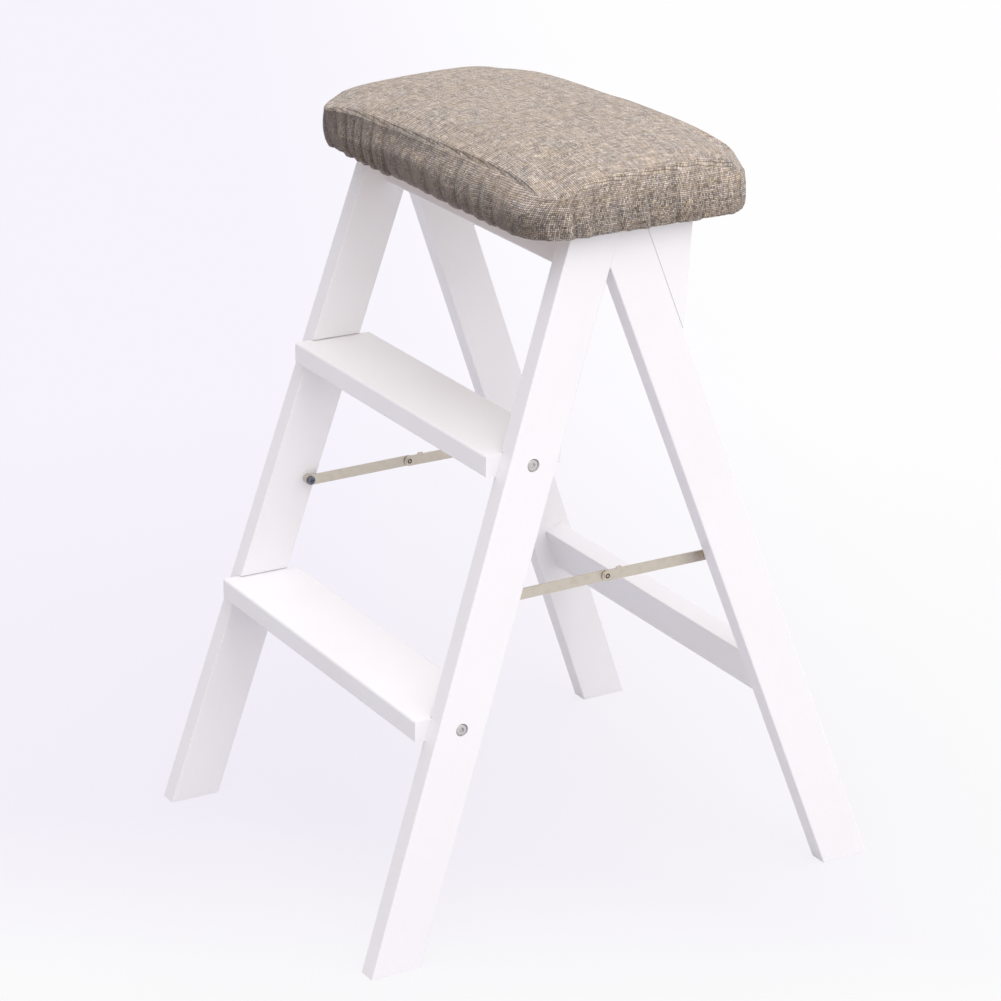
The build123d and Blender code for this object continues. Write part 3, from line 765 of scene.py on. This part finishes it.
@dataclass
class GatheredCushion:
    """The padded seat: a crowned top panel sewn to a gathered skirt that is drawn in under the board."""

    half_x: float = 180.9 * MM
    half_y: float = 104.0 * MM
    radius: float = 28.0 * MM
    centre_y: float = 9.19 * MM
    top_half_x: float = 181.0 * MM
    top_half_y: float = 102.3 * MM
    top_centre_y: float = 8.3 * MM
    top_turn: float = 3.4
    board_low: float = 610.0 * MM
    hem_z: float = 608.4 * MM
    seam_z: float = 651.0 * MM
    seam_sag: float = 15.0 * MM
    rear_sag: float = 7.0 * MM
    crown_z: float = 668.0 * MM
    crown_long: float = 3.7
    crown_short: float = 3.5
    crown_round: float = 0.47
    lean_x: float = 0.14
    lean_y: float = 0.23
    around: int = 720
    seed: int = 11
    wall: float = 1.5 * MM
    pressure: float = 2.5
    frames: int = 20
    cloth_step: int = 4
    move_cap: float = 2.2 * MM
    lip: tuple[tuple[float, float], ...] = ((-8.0, 0.2), (-6.5, -0.9), (-4.0, -1.7), (-1.6, -1.9))
    skirt_shares: tuple[float, ...] = (*np.linspace(0.0, 0.9, 17), 0.93, 0.955, 0.98, 1.0)
    skirt_rise: float = 0.9
    fine_below_seam: float = 0.86
    fine_above_seam: float = 0.95
    rim_insets: tuple[float, ...] = (0.9, 1.9, 3.2, 4.8, 7.0, 10.0, 14.0, 19.0)
    rim_reach: float = 140.0
    crown_shares: tuple[float, ...] = tuple(np.linspace(0.82, 0.03, 26))
    fine_folds: tuple[float, float] = (6.0 * MM, 12.0 * MM)
    long_folds: tuple[float, float] = (12.0 * MM, 26.0 * MM)
    fold_slant: float = 13.0
    upright_share: float = 0.3
    long_slant: float = 1.2
    fine_reach: float = 0.5
    fine_fade: float = 0.8
    long_reach: float = 0.95
    long_fade: float = 0.55
    fine_depth: float = 0.8
    fine_more_at_ends: float = 1.1
    long_depth: float = 4.4
    fine_shadow: float = 0.45
    fine_shadow_at_ends: float = 0.2
    long_shadow: float = 1.25
    lip_share: float = 0.3
    front_stations: tuple[float, ...] = (-1.0, -0.2, 0.5, 1.0)
    front_strength: tuple[float, ...] = (1.3, 1.35, 1.15, 0.5)
    rear_strength: float = 0.9
    end_strength: float = 0.8
    seam_presses: tuple[float, ...] = (-0.1, -0.3, -0.2, 1.0, -0.1, -0.4, -0.3, -0.1)
    seam_path: np.ndarray = field(init=False)

    def outline(self) -> Outline:
        """The seat board's outline."""
        return Outline(self.half_x, self.half_y, self.radius, self.centre_y)

    def skirt_profile(self, share: float) -> float:
        """How far the skirt stands outside the board at a share of its height."""
        return MM * (1.6 - 0.9 * share + 3.6 * math.sin(math.pi * share))

    def seam_height(self, places: np.ndarray) -> np.ndarray:
        """The seam's height round the seat: it is drawn lower at the corners.

        Args:
            places: points of the outline, (n, 2).

        Returns:
            A height for each point.
        """
        across, deep = places[:, 0] / self.half_x, (places[:, 1] - self.centre_y) / self.half_y
        near_rear = np.interp(across, [0.0, 1.0], [0.0, 1.0]) * np.interp(deep, [0.0, 1.0], [0.0, 1.0])
        return self.seam_z - (self.seam_sag + self.rear_sag * near_rear) * across ** 4 * deep ** 4

    def skirt_plan(self, share: float) -> np.ndarray:
        """The skirt in plan: it narrows and turns slightly towards the seam.

        Args:
            share: the share of the skirt's height, 0 at the hem.

        Returns:
            Points (around, 2).
        """
        places, normals, _ = self.outline().walk(self.around)
        narrow = np.array([self.top_half_x / self.half_x, self.top_half_y / self.half_y])
        middle = np.array([0.0, self.centre_y])
        moved = (places - middle) * (1.0 + (narrow - 1.0) * share) + normals * self.skirt_profile(share)
        turn = math.radians(self.top_turn) * share ** 3
        spin = np.array([[math.cos(turn), -math.sin(turn)], [math.sin(turn), math.cos(turn)]])
        return moved @ spin.T + [0.0, self.centre_y + (self.top_centre_y - self.centre_y) * share]

    def pillow(self, plan: np.ndarray) -> np.ndarray:
        """How far the crown has risen over points in plan.

        Args:
            plan: the points, (n, 2).

        Returns:
            A share for each point, from 0 at the sides to about 1 near the middle.
        """
        turn = math.radians(self.top_turn)
        local = plan - [0.0, self.top_centre_y]
        reach = self.skirt_profile(1.0)
        u = (local[:, 0] * math.cos(turn) + local[:, 1] * math.sin(turn)) / (self.top_half_x + reach)
        v = (local[:, 1] * math.cos(turn) - local[:, 0] * math.sin(turn)) / (self.top_half_y + reach)
        long_rise = 1.0 - np.abs(u).clip(0.0, 1.0) ** self.crown_long
        short_rise = 1.0 - np.abs(v).clip(0.0, 1.0) ** self.crown_short
        return (long_rise * short_rise) ** self.crown_round * (1.0 + self.lean_x * u + self.lean_y * v)

    def rings(self) -> Rings:
        """The rings before they swell.

        Returns:
            The rings, with each point's place in the weave.
        """
        places, normals, s = self.outline().walk(self.around)
        seam = self.seam_height(places)
        points, weave, kinds, fine = [], [], [], []
        for grow, lift in self.lip:
            z = np.full(self.around, self.board_low + (lift - 0.1) * MM)
            points.append(np.column_stack([places + normals * grow * MM, z]))
            weave.append(np.column_stack([s, np.full(self.around, self.hem_z + grow * MM)]))
            kinds.append("lip")
            fine.append(False)
        for share in self.skirt_shares:
            z = self.hem_z + (seam - self.hem_z) * share ** self.skirt_rise
            points.append(np.column_stack([self.skirt_plan(share), z]))
            weave.append(np.column_stack([s, z]))
            kinds.append("skirt")
            fine.append(self.fine_below_seam < share < 1.0)
        edge = self.skirt_plan(1.0)
        rim = self.pillow(edge)
        middle = np.array([0.0, self.top_centre_y])
        for t in (*(1.0 - np.array(self.rim_insets) / self.rim_reach), *self.crown_shares):
            plan = middle + (edge - middle) * t
            rise = (self.pillow(plan) - rim * t ** 6).clip(0.0)
            z = seam * t ** 3 + self.seam_z * (1.0 - t ** 3)
            points.append(np.column_stack([plan, z + (self.crown_z - z) * rise]))
            kinds.append("top")
            fine.append(t > self.fine_above_seam)
        outwards = (edge - middle) / np.linalg.norm(edge - middle, axis=1, keepdims=True)
        run = np.linalg.norm(points[-1][:, :2] - middle, axis=1)
        laid = [middle + outwards * run[:, None]]
        for j in range(len(points) - 1, kinds.index("top"), -1):
            run = run + np.linalg.norm(points[j - 1] - points[j], axis=1)
            laid.append(middle + outwards * run[:, None])
        return Rings(np.array(points), np.array(weave + laid[::-1]), kinds, fine)

    def mesh_rings(self, rings: np.ndarray, name: str) -> MeshObject:
        """A closed mesh through the rings, with a middle point above and below.

        Args:
            rings: points (rings, around, 3).
            name: the object's name.

        Returns:
            The mesh object.
        """
        count, around = rings.shape[0], rings.shape[1]
        verts = rings.reshape(-1, 3)
        low = np.array([[0.0, self.centre_y, self.board_low]])
        high = rings[-1].mean(0, keepdims=True)
        verts = np.vstack([verts, low, high])
        faces: list[tuple[int, ...]] = []
        for j in range(count - 1):
            for i in range(around):
                n = (i + 1) % around
                faces.append((j * around + i, j * around + n, (j + 1) * around + n, (j + 1) * around + i))
        bottom, top = count * around, count * around + 1
        last = (count - 1) * around
        for i in range(around):
            n = (i + 1) % around
            faces.append((bottom, n, i))
            faces.append((top, last + i, last + n))
        return new_object(name, verts, faces)

    def swell(self, rings: Rings) -> np.ndarray:
        """Fills the cushion with pressure as cloth and returns its moved points.

        Args:
            rings: the cushion's rings.

        Returns:
            The points after the cloth has settled, each move capped.
        """
        chosen = [j for j, fine in enumerate(rings.fine) if not fine]
        coarse = rings.points[chosen][:, ::self.cloth_step]
        obj = self.mesh_rings(coarse, "cushion_blank")
        around = coarse.shape[1]
        still = [n for n, j in enumerate(chosen) if rings.kinds[j] == "lip"]
        still.append(still[-1] + 1)
        group = obj.vertex_groups.new(name="held")
        group.add([n * around + i for n in still for i in range(around)], 1.0, "REPLACE")
        group.add([len(chosen) * around], 1.0, "REPLACE")
        cloth = obj.modifiers.new("cloth", "CLOTH")
        for key, value in CLOTH_SETTINGS.items():
            setattr(cloth.settings, key, value)
        cloth.settings.uniform_pressure_force = self.pressure
        cloth.settings.effector_weights.gravity = 0.0
        cloth.collision_settings.use_collision = False
        scene = bpy.context.scene
        for frame in range(1, self.frames + 1):
            scene.frame_set(frame)
        evaluated = obj.evaluated_get(bpy.context.evaluated_depsgraph_get())
        moved = np.array([v.co for v in evaluated.data.vertices], float)[: len(chosen) * around]
        shift = moved.reshape(len(chosen), around, 3) - coarse
        scene.frame_set(1)
        bpy.data.objects.remove(obj)
        size = np.linalg.norm(shift, axis=2, keepdims=True)
        LOG.info("cloth moved the cushion by up to %.1f mm", size.max() / MM)
        shift = shift * np.minimum(1.0, self.move_cap / np.maximum(size, 1e-9))
        shift = sum(np.roll(shift, turn, axis=1) for turn in range(-3, 4)) / 7
        index = np.arange(self.around) / self.cloth_step
        low = np.floor(index).astype(int) % around
        part = (index - np.floor(index))[None, :, None]
        shift = shift[:, low] * (1 - part) + shift[:, (low + 1) % around] * part
        spread = np.interp(np.arange(len(rings.kinds)), chosen, np.arange(len(chosen)))
        low = np.floor(spread).astype(int)
        high = np.minimum(low + 1, len(chosen) - 1)
        part = (spread - low)[:, None, None]
        return rings.points + shift[low] * (1 - part) + shift[high] * part

    def creases(self, rng: np.random.Generator, low: float, high: float) -> tuple[np.ndarray, np.ndarray]:
        """Uneven folds round the skirt.

        Args:
            rng: the seeded draw.
            low: shortest fold.
            high: longest fold.

        Returns:
            Where each crease lies along the outline, and each fold's depth.
        """
        total = self.outline().length()
        spots = [0.0]
        while spots[-1] < total - high:
            spots.append(spots[-1] + rng.uniform(low, high))
        spots = np.array(spots)
        return spots, rng.uniform(0.25, 1.0, len(spots))

    def fold(self, s: np.ndarray, spots: np.ndarray, depths: np.ndarray) -> tuple[np.ndarray, np.ndarray]:
        """Rounded folds between sharp creases.

        Args:
            s: places along the outline.
            spots: where the creases lie.
            depths: each fold's depth.

        Returns:
            The folds' height, 0 in a crease, and how near each place is to a crease, from 0 to 1.
        """
        total = self.outline().length()
        s = np.mod(s, total)
        number = np.clip(np.searchsorted(spots, s, side="right") - 1, 0, len(spots) - 1)
        start = spots[number]
        end = np.append(spots, total)[number + 1]
        arch = np.sin(np.pi * (s - start) / (end - start)) ** 0.55
        return arch * depths[number], (1.0 - arch) ** 1.3 * depths[number]

    def sculpt(self, points: np.ndarray, kinds: list[str]) -> tuple[np.ndarray, np.ndarray]:
        """Adds the gathers, deepest at the hem and fading towards the seam, and works out how dark the
        painted shade in their creases is.

        Args:
            points: points (rings, around, 3).
            kinds: what each ring belongs to.

        Returns:
            The moved points, and how dark each one is painted as shade in the creases, from 0 to 1.
        """
        rng = np.random.default_rng(self.seed)
        places, normals, s = self.outline().walk(self.around)
        out = np.column_stack([normals, np.zeros(self.around)])
        fine_spots, fine_depths = self.creases(rng, *self.fine_folds)
        long_spots, long_depths = self.creases(rng, *self.long_folds)
        strength = self.gather_strength(places, normals)
        ends = np.abs(normals[:, 0]) ** 2
        first_skirt = kinds.index("skirt")
        points = points.copy()
        crease_shade = np.zeros(points.shape[:2])
        for j, kind in enumerate(kinds):
            if kind == "top":
                continue
            height = float((points[j, :, 2] - self.hem_z).mean() / (self.seam_z - self.hem_z))
            share = 0.0 if kind == "lip" else min(1.0, max(0.0, height))
            slant = (share - self.upright_share) * self.fold_slant * MM
            fading = max(0.0, 1.0 - share / self.fine_reach) ** self.fine_fade
            fine, fine_crease = (fading * v for v in self.fold(s + slant, fine_spots, fine_depths))
            fading = max(0.0, 1.0 - share / self.long_reach) ** self.long_fade
            slant *= self.long_slant
            deep, deep_crease = (fading * v for v in self.fold(s + slant, long_spots, long_depths))
            # Painted shade: how dark the creases are painted, faint along the fine folds and stronger in the
            # deep gathers.
            faint = (self.fine_shadow + self.fine_shadow_at_ends * ends) * fine_crease
            crease_shade[j] = np.maximum(faint, self.long_shadow * deep_crease * strength).clip(0.0, 1.0)
            shallow = (self.fine_depth + self.fine_more_at_ends * ends) * fine
            move = (shallow + self.long_depth * deep * strength) * MM
            if kind == "lip":
                points[j, :, 2] -= self.lip_share * (fine + deep) * MM
                points[j] += out * (self.lip_share * move)[:, None]
            else:
                eased = 0.35 + 0.65 * min(1.0, (j - first_skirt + 1) / 3)
                points[j] += out * (move * eased)[:, None]
                points[j, :, 2] -= max(0.0, 1.0 - share / 0.2) * (0.5 * fine + 1.1 * deep * strength) * MM
        return points, crease_shade

    def gather_strength(self, places: np.ndarray, normals: np.ndarray) -> np.ndarray:
        """How deep the gathers are round the seat: deepest along the climbing side's far half.

        Args:
            places: points of the outline, (n, 2).
            normals: outward normals, (n, 2).

        Returns:
            A factor for each point.
        """
        across = places[:, 0] / self.half_x
        in_front = np.interp(across, self.front_stations, self.front_strength)
        along_front = (-normals[:, 1]).clip(0.0, 1.0) * in_front
        along_rear = normals[:, 1].clip(0.0, 1.0) * self.rear_strength
        at_ends = np.abs(normals[:, 0]) * self.end_strength
        return np.maximum.reduce([along_front, along_rear, at_ends])

    def dress_seam(self, points: np.ndarray, seam: int) -> np.ndarray:
        """Presses the seam in and lifts the seam allowance beside it.

        Args:
            points: points (rings, around, 3).
            seam: the number of the ring that lies in the seam.

        Returns:
            The moved points.
        """
        _, normals, _ = self.outline().walk(self.around)
        inward = np.column_stack([-0.75 * normals, np.full(self.around, -0.5)])
        points = points.copy()
        first = seam - self.seam_presses.index(1.0)
        for j, depth in enumerate(self.seam_presses, first):
            points[j] += inward * depth * MM
        return points

    def lay_weave(self, obj: MeshObject, rings: Rings) -> None:
        """Gives the cover its UV map: the skirt by its length round the seat, the top from its middle.

        Args:
            obj: the closed mesh through the rings.
            rings: the cushion's rings.
        """
        uv = obj.data.uv_layers.new(name="weave")
        total = self.outline().length()
        count, around = rings.points.shape[0], rings.points.shape[1]
        seam = rings.seam()
        flat = rings.weave.reshape(-1, 2)
        seam_plan = 2 * rings.weave[seam + 1] - rings.weave[seam + 2]
        for poly in obj.data.polygons:
            ids = [i for i in poly.vertices if i < count * around]
            on_top = max((i // around for i in ids), default=0) > seam
            wraps = {i % around for i in ids} >= {0, around - 1}
            for loop in poly.loop_indices:
                i = obj.data.loops[loop].vertex_index
                if i >= count * around:
                    uv.data[loop].uv = (0.0, self.top_centre_y)
                elif on_top and i // around <= seam:
                    uv.data[loop].uv = tuple(seam_plan[i % around])
                else:
                    u, v = flat[i]
                    if wraps and not on_top and i % around == 0:
                        u += total
                    uv.data[loop].uv = (u, v)

    def open_below(self, obj: MeshObject, middle: int) -> None:
        """Cuts the underside open.

        Args:
            obj: the closed mesh through the rings.
            middle: the number of the underside's middle point.
        """
        shell = bmesh.new()
        shell.from_mesh(obj.data)
        shell.verts.ensure_lookup_table()
        bmesh.ops.delete(shell, geom=[shell.verts[middle]], context="VERTS")
        shell.to_mesh(obj.data)
        shell.free()

    def build(self, cloth: Material) -> MeshObject:
        """Models the cushion cover.

        Args:
            cloth: the woven material.

        Returns:
            The finished piece.
        """
        rings = self.rings()
        points, crease_shade = self.sculpt(self.swell(rings), rings.kinds)
        points = self.dress_seam(points, rings.seam())
        self.seam_path = points[rings.seam()].copy()
        obj = self.mesh_rings(points, "cushion_cover")
        # The crease attribute carries the painted shade of the creases, which the cloth's material darkens
        # by.
        crease = obj.data.attributes.new("crease", "FLOAT", "POINT")
        crease.data.foreach_set("value", np.append(crease_shade.ravel(), [0.0, 0.0]))
        self.lay_weave(obj, rings)
        self.open_below(obj, points.shape[0] * points.shape[1])
        obj.data.materials.append(cloth)
        apply_modifier(obj, "SOLIDIFY", thickness=self.wall, offset=-1.0)
        only(obj)
        bpy.ops.object.shade_smooth()
        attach(obj, "front_frame")
        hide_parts("seat_cover", "seat_foam")
        return obj


@dataclass
class SeamStitching:
    """The row of stitches that shows in the seam."""

    path: np.ndarray
    pitch: float = 3.6 * MM
    thickness: float = 0.55 * MM
    length: float = 2.5 * MM
    proud: float = 0.15

    def stitch(self) -> tuple[np.ndarray, list[tuple[int, ...]]]:
        """Models one stitch along X at the origin.

        Returns:
            Its points (n, 3) and its faces, sorted, so that they come in the same order in each run.
        """
        bpy.ops.object.select_all(action="DESELECT")
        bpy.ops.mesh.primitive_uv_sphere_add(segments=8, ring_count=5, radius=0.5, location=(0.0, 0.0, 0.0))
        stitch = bpy.context.active_object
        bpy.ops.object.mode_set(mode="EDIT")
        bpy.ops.mesh.select_all(action="SELECT")
        bpy.ops.transform.resize(value=(self.length, self.thickness, self.thickness))
        bpy.ops.object.mode_set(mode="OBJECT")
        base = np.array([v.co for v in stitch.data.vertices])
        loops = [tuple(p.vertices) for p in stitch.data.polygons]
        faces = sorted(face[face.index(min(face)):] + face[:face.index(min(face))] for face in loops)
        bpy.data.objects.remove(stitch)
        return base, faces

    def build(self, thread: Material) -> MeshObject:
        """Sets copies of one stitch along the seam.

        Args:
            thread: the thread's material.

        Returns:
            The finished piece.
        """
        base, faces = self.stitch()
        closed = np.vstack([self.path, self.path[:1]])
        steps = np.linalg.norm(np.diff(closed, axis=0), axis=1)
        run = np.concatenate([[0.0], np.cumsum(steps)])
        verts, all_faces = [], []
        middle = self.path.mean(0)
        for k, s in enumerate(np.arange(0.0, run[-1] - self.pitch, self.pitch)):
            ends = (s, s + self.pitch / 4)
            spot, ahead = (np.array([np.interp(at, run, closed[:, a]) for a in range(3)]) for at in ends)
            tangent = (ahead - spot) / max(np.linalg.norm(ahead - spot), 1e-9)
            outward = np.cross(tangent, [0.0, 0.0, 1.0])
            outward /= np.linalg.norm(outward)
            if np.dot(outward, spot - middle) < 0:
                outward = -outward
            up = np.cross(outward, tangent)
            place = spot + outward * self.proud * MM
            verts.append(place + base[:, :1] * tangent + base[:, 1:2] * outward + base[:, 2:3] * up)
            all_faces += [tuple(i + k * len(base) for i in f) for f in faces]
        obj = new_object("seam_stitches", np.vstack(verts), all_faces)
        obj.data.materials.append(thread)
        face_outwards(obj)
        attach(obj, "front_frame")
        return obj


@dataclass
class HemElastic:
    """The elastic that draws the skirt in under the board, gathered in small waves."""

    centre_y: float = 9.19 * MM
    half_x: float = 173.9 * MM
    half_y: float = 97.1 * MM
    radius: float = 21.0 * MM
    z: float = 609.0 * MM
    around: int = 720
    wave: float = 5.2 * MM
    wave_out: float = 0.25
    wave_up: float = 0.15
    half_section: tuple[tuple[float, float], ...] = ((-1.1, 0.0), (-0.8, 0.62), (0.0, 0.8), (0.8, 0.62))

    def build(self, finish: Material) -> MeshObject:
        """Models the band as a flat closed tube with waves.

        Args:
            finish: the elastic's material.

        Returns:
            The finished piece.
        """
        outline = Outline(self.half_x, self.half_y, self.radius, self.centre_y)
        places, normals, s = outline.walk(self.around)
        waves = round(outline.length() / self.wave)
        phase = 2 * math.pi * s / outline.length() * waves
        section = [*self.half_section, *((-across, -up) for across, up in self.half_section)]
        rings = []
        for across, up in section:
            plan = places + normals * ((across + self.wave_out * np.sin(phase))[:, None] * MM)
            z = self.z + (up + self.wave_up * np.cos(phase)) * MM
            rings.append(np.column_stack([plan, z]))
        faces = []
        for j in range(len(section)):
            here, there = j * self.around, (j + 1) % len(section) * self.around
            for i in range(self.around):
                n = (i + 1) % self.around
                faces.append((here + i, there + i, there + n, here + n))
        obj = new_object("hem_elastic", np.array(rings).reshape(-1, 3), faces)
        obj.data.materials.append(finish)
        face_outwards(obj)
        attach(obj, "front_frame")
        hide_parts("skirt_elastic")
        return obj


def put_on(obj: MeshObject, material: Material) -> None:
    """Puts a material on a CAD node's slots.

    Args:
        obj: the node.
        material: its finish.
    """
    if not obj.material_slots:
        obj.data.materials.append(material)
    for slot in obj.material_slots:
        slot.material = material


@dataclass
class Joinery:
    """The painted boards and the hidden bare wood of the CAD frame."""

    front: tuple[str, ...] = ("stile_left", "stile_right")
    rear: tuple[str, ...] = ("rear_leg_left", "rear_leg_right", "wedge_left", "wedge_right")
    across: tuple[str, ...] = ("tread_lower", "tread_upper", "front_apron", "top_rail", "cross_rail")
    dowels: tuple[str, ...] = ("apron_dowels", "top_rail_dowels", "cross_rail_dowels")
    ply: BareWoodFinish = BareWoodFinish("bare_board")
    beech: BareWoodFinish = BareWoodFinish("turned_beech", (0.7, 0.52, 0.33, 1.0), (0.52, 0.35, 0.2, 1.0))

    def dress(self, nodes: dict[str, MeshObject]) -> None:
        """Gives each board its finish.

        Args:
            nodes: the CAD nodes by name.
        """
        dressed = (
            (self.front, PaintFinish(Grain.UP_FRONT)),
            (self.rear, PaintFinish(Grain.UP_REAR)),
            (self.across, PaintFinish(Grain.ACROSS)),
            (("seat_board",), self.ply),
            (self.dowels, self.beech),
        )
        for names, finish in dressed:
            material = finish.build()
            for name in names:
                put_on(nodes[name], material)
            LOG.info("%s: %s", material.name, ", ".join(names))


@dataclass
class Hardware:
    """The stays, screws, bolts and hinges of the CAD frame."""

    warm: PlatedFinish = PlatedFinish(
        Plating.WARM_NICKEL, (0.63, 0.575, 0.5, 1.0), (0.45, 0.405, 0.34, 1.0), 0.33
    )
    bright: PlatedFinish = PlatedFinish(
        Plating.BRIGHT_NICKEL, (0.62, 0.61, 0.6, 1.0), (0.4, 0.39, 0.38, 1.0), 0.26
    )
    dark: PlatedFinish = PlatedFinish(
        Plating.DARK_ZINC, (0.16, 0.17, 0.21, 1.0), (0.05, 0.05, 0.07, 1.0), 0.3
    )
    zinc: PlatedFinish = PlatedFinish(
        Plating.ZINC, (0.58, 0.6, 0.62, 1.0), (0.38, 0.39, 0.4, 1.0), 0.36
    )

    def dress(self, nodes: dict[str, MeshObject]) -> None:
        """Gives each metal part its plating.

        Args:
            nodes: the CAD nodes by name.
        """
        warm, bright, dark, zinc = (f.build() for f in (self.warm, self.bright, self.dark, self.zinc))
        for name, obj in nodes.items():
            if name.startswith("stay_front_screw"):
                put_on(obj, dark)
            elif name.startswith("stay_elbow_rivet"):
                middle = sum((Vector(corner) for corner in obj.bound_box), Vector()) / 8
                put_on(obj, RivetFinish(f"{name}_steel", tuple(middle)).build())
            elif name.startswith("stay_"):
                put_on(obj, warm)
            elif name in ("tread_bolts", "wedge_screws"):
                put_on(obj, bright)
            elif name.startswith("hinge_") or name in ("barrel_nuts", "seat_screws"):
                put_on(obj, zinc)
            else:
                continue
            LOG.info("%s: %s", obj.material_slots[0].material.name, name)


@dataclass(frozen=True)
class Lamp:
    """A square area lamp aimed at the stool."""

    name: str
    place: Triple
    size: float
    power: float
    color: Triple
    aim: Triple = (0.0, 0.0, 0.35)

    def build(self) -> None:
        """Hangs the lamp."""
        data = bpy.data.lights.new(self.name, "AREA")
        data.shape, data.size, data.energy, data.color = "SQUARE", self.size, self.power, self.color
        obj = bpy.data.objects.new(self.name, data)
        obj.location = self.place
        obj.rotation_euler = (Vector(self.aim) - Vector(self.place)).to_track_quat("-Z", "Y").to_euler()
        bpy.context.scene.collection.objects.link(obj)


@dataclass
class Studio:
    """The pale floor, the soft lamps and the camera at the photograph's angle."""

    azimuth: float = 58.72
    elevation: float = 21.03
    roll: float = 1.0
    distance: float = 2736.23 * MM
    target: Triple = (143.74 * MM, (150.0 - 250.313) * MM, 379.62 * MM)
    focal_px: float = 3331.02
    sensor: float = 36.0
    clip: tuple[float, float] = (0.05, 60.0)
    key: Lamp = Lamp("key", (3.1, -0.1, 0.9), 1.8, 7.0, (1.0, 0.99, 0.985))
    top: Lamp = Lamp("top", (1.3, -0.3, 3.0), 1.2, 14.0, (1.0, 0.995, 0.99))
    floor_size: float = 40.0
    floor_low: float = -0.0002
    floor_roughness: float = 0.9
    cool_floor: Color = (0.505, 0.49, 0.535, 1.0)
    warm_floor: Color = (0.525, 0.52, 0.52, 1.0)
    cool_glow: Color = (0.93, 0.90, 0.985, 1.0)
    white_glow: Color = (1.0, 0.995, 1.0, 1.0)
    warm_way: tuple[float, float] = (0.416, 0.917)
    white_way: tuple[float, float] = (0.855, -0.519)
    sky_color: Color = (0.99, 0.978, 0.995, 1.0)
    sky_ways: tuple[Triple, Triple] = ((0.0, 0.0, 1.0), (0.8, 0.6, 0.0))
    sky_levels: tuple[Color, Color] = ((-0.1, 1.0, 0.41, 1.6), (-1.0, 1.0, 0.55, 1.45))
    backdrop: float = 0.94

    def camera(self) -> None:
        """Makes the camera."""
        a, e, r = (math.radians(v) for v in (self.azimuth, self.elevation, self.roll))
        back = Vector((math.sin(a) * math.cos(e), -math.cos(a) * math.cos(e), math.sin(e)))
        forward = -back
        right = forward.cross(Vector((0, 0, 1))).normalized()
        up = right.cross(forward)
        rolled_right = right * math.cos(r) + up * math.sin(r)
        rolled_up = -right * math.sin(r) + up * math.cos(r)
        data = bpy.data.cameras.new("camera")
        data.lens = self.focal_px * self.sensor / IMAGE_PX
        data.sensor_width = self.sensor
        data.clip_start, data.clip_end = self.clip
        obj = bpy.data.objects.new("camera", data)
        place = Vector(self.target) + back * self.distance
        turn = Matrix((rolled_right, rolled_up, back)).transposed().to_4x4()
        obj.matrix_world = Matrix.Translation(place) @ turn
        bpy.context.scene.collection.objects.link(obj)
        bpy.context.scene.camera = obj

    def floor_finish(self) -> Material:
        """A pale floor that keeps the stool's shadow and shows its own colour to the camera.

        Returns:
            The material.
        """
        g = MaterialGraph("studio_floor")
        spot = g.add("TexCoord").outputs["Object"]
        x, y, _ = g.split(spot)
        along, ahead = (
            g.maths("ADD", g.times(x, way[0]), g.times(y, way[1])) for way in (self.warm_way, self.white_way)
        )
        warm = g.remap(along, -0.15, 0.5, 0.0, 1.0)
        g.surface("Base Color", g.mix(warm, self.cool_floor, self.warm_floor))
        g.surface("Roughness", self.floor_roughness)
        white = g.maths("MAXIMUM", warm, g.remap(ahead, 0.0, 0.3, 0.0, 1.0))
        glow = g.add("Emission")
        g.link(g.mix(white, self.cool_glow, self.white_glow), glow.inputs["Color"])
        g.feed(glow.inputs["Strength"], 1.0)
        path = g.add("LightPath").outputs
        mirrored = g.maths("MAXIMUM", path["Is Glossy Ray"], path["Is Transmission Ray"])
        seen = g.maths("MAXIMUM", path["Is Camera Ray"], mirrored)
        away = g.add("VectorMath", operation="LENGTH")
        g.link(spot, away.inputs[0])
        blend = g.add("MixShader")
        share = g.times(seen, g.remap(away.outputs["Value"], 0.3, 1.2, 0.85, 0.99))
        for socket, source in zip(blend.inputs, (share, g.shader.outputs[0], glow.outputs[0])):
            g.link(source, socket)
        output = next(n for n in g.tree.nodes if n.type == "OUTPUT_MATERIAL")
        g.link(blend.outputs[0], output.inputs[0])
        return g.material

    def floor(self) -> None:
        """Lays the floor."""
        bpy.ops.object.select_all(action="DESELECT")
        bpy.ops.mesh.primitive_plane_add(size=self.floor_size, location=(0.0, 0.0, self.floor_low))
        floor = bpy.context.active_object
        floor.name = "studio_floor"
        floor.data.materials.append(self.floor_finish())

    def world(self) -> None:
        """Pale light from all round, stronger from above and from the rear right."""
        g = WorldGraph("studio")
        toward = g.add("TexCoord").outputs["Generated"]
        levels = []
        for way, span in zip(self.sky_ways, self.sky_levels):
            share = g.add("VectorMath", operation="DOT_PRODUCT")
            g.link(toward, share.inputs[0])
            g.feed(share.inputs[1], way)
            levels.append(g.remap(share.outputs["Value"], *span))
        seen = g.add("Mix")
        g.link(g.add("LightPath").outputs["Is Camera Ray"], seen.inputs["Factor"])
        g.link(g.times(*levels), seen.inputs["A"])
        g.feed(seen.inputs["B"], self.backdrop)
        g.surface("Color", self.sky_color)
        g.surface("Strength", seen.outputs["Result"])

    def build(self) -> None:
        """Makes the whole studio."""
        self.camera()
        self.world()
        self.floor()
        self.key.build()
        self.top.build()
        bpy.context.scene.view_settings.view_transform = "Standard"


def main() -> None:
    """Builds and dresses the stool."""
    logging.basicConfig(level=logging.INFO, format="%(name)s: %(message)s")
    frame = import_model()
    Studio().build()
    Joinery().dress(frame["nodes"])
    Hardware().dress(frame["nodes"])
    cushion = GatheredCushion()
    pieces = [cushion.build(TweedFinish().build())]
    pieces.append(SeamStitching(cushion.seam_path).build(ThreadFinish().build()))
    pieces.append(HemElastic().build(ElasticFinish().build()))
    for piece in pieces:
        LOG.info("%s: %d faces", piece.name, len(piece.data.polygons))
    bpy.context.view_layer.update()


if __name__ == "__main__":
    main()
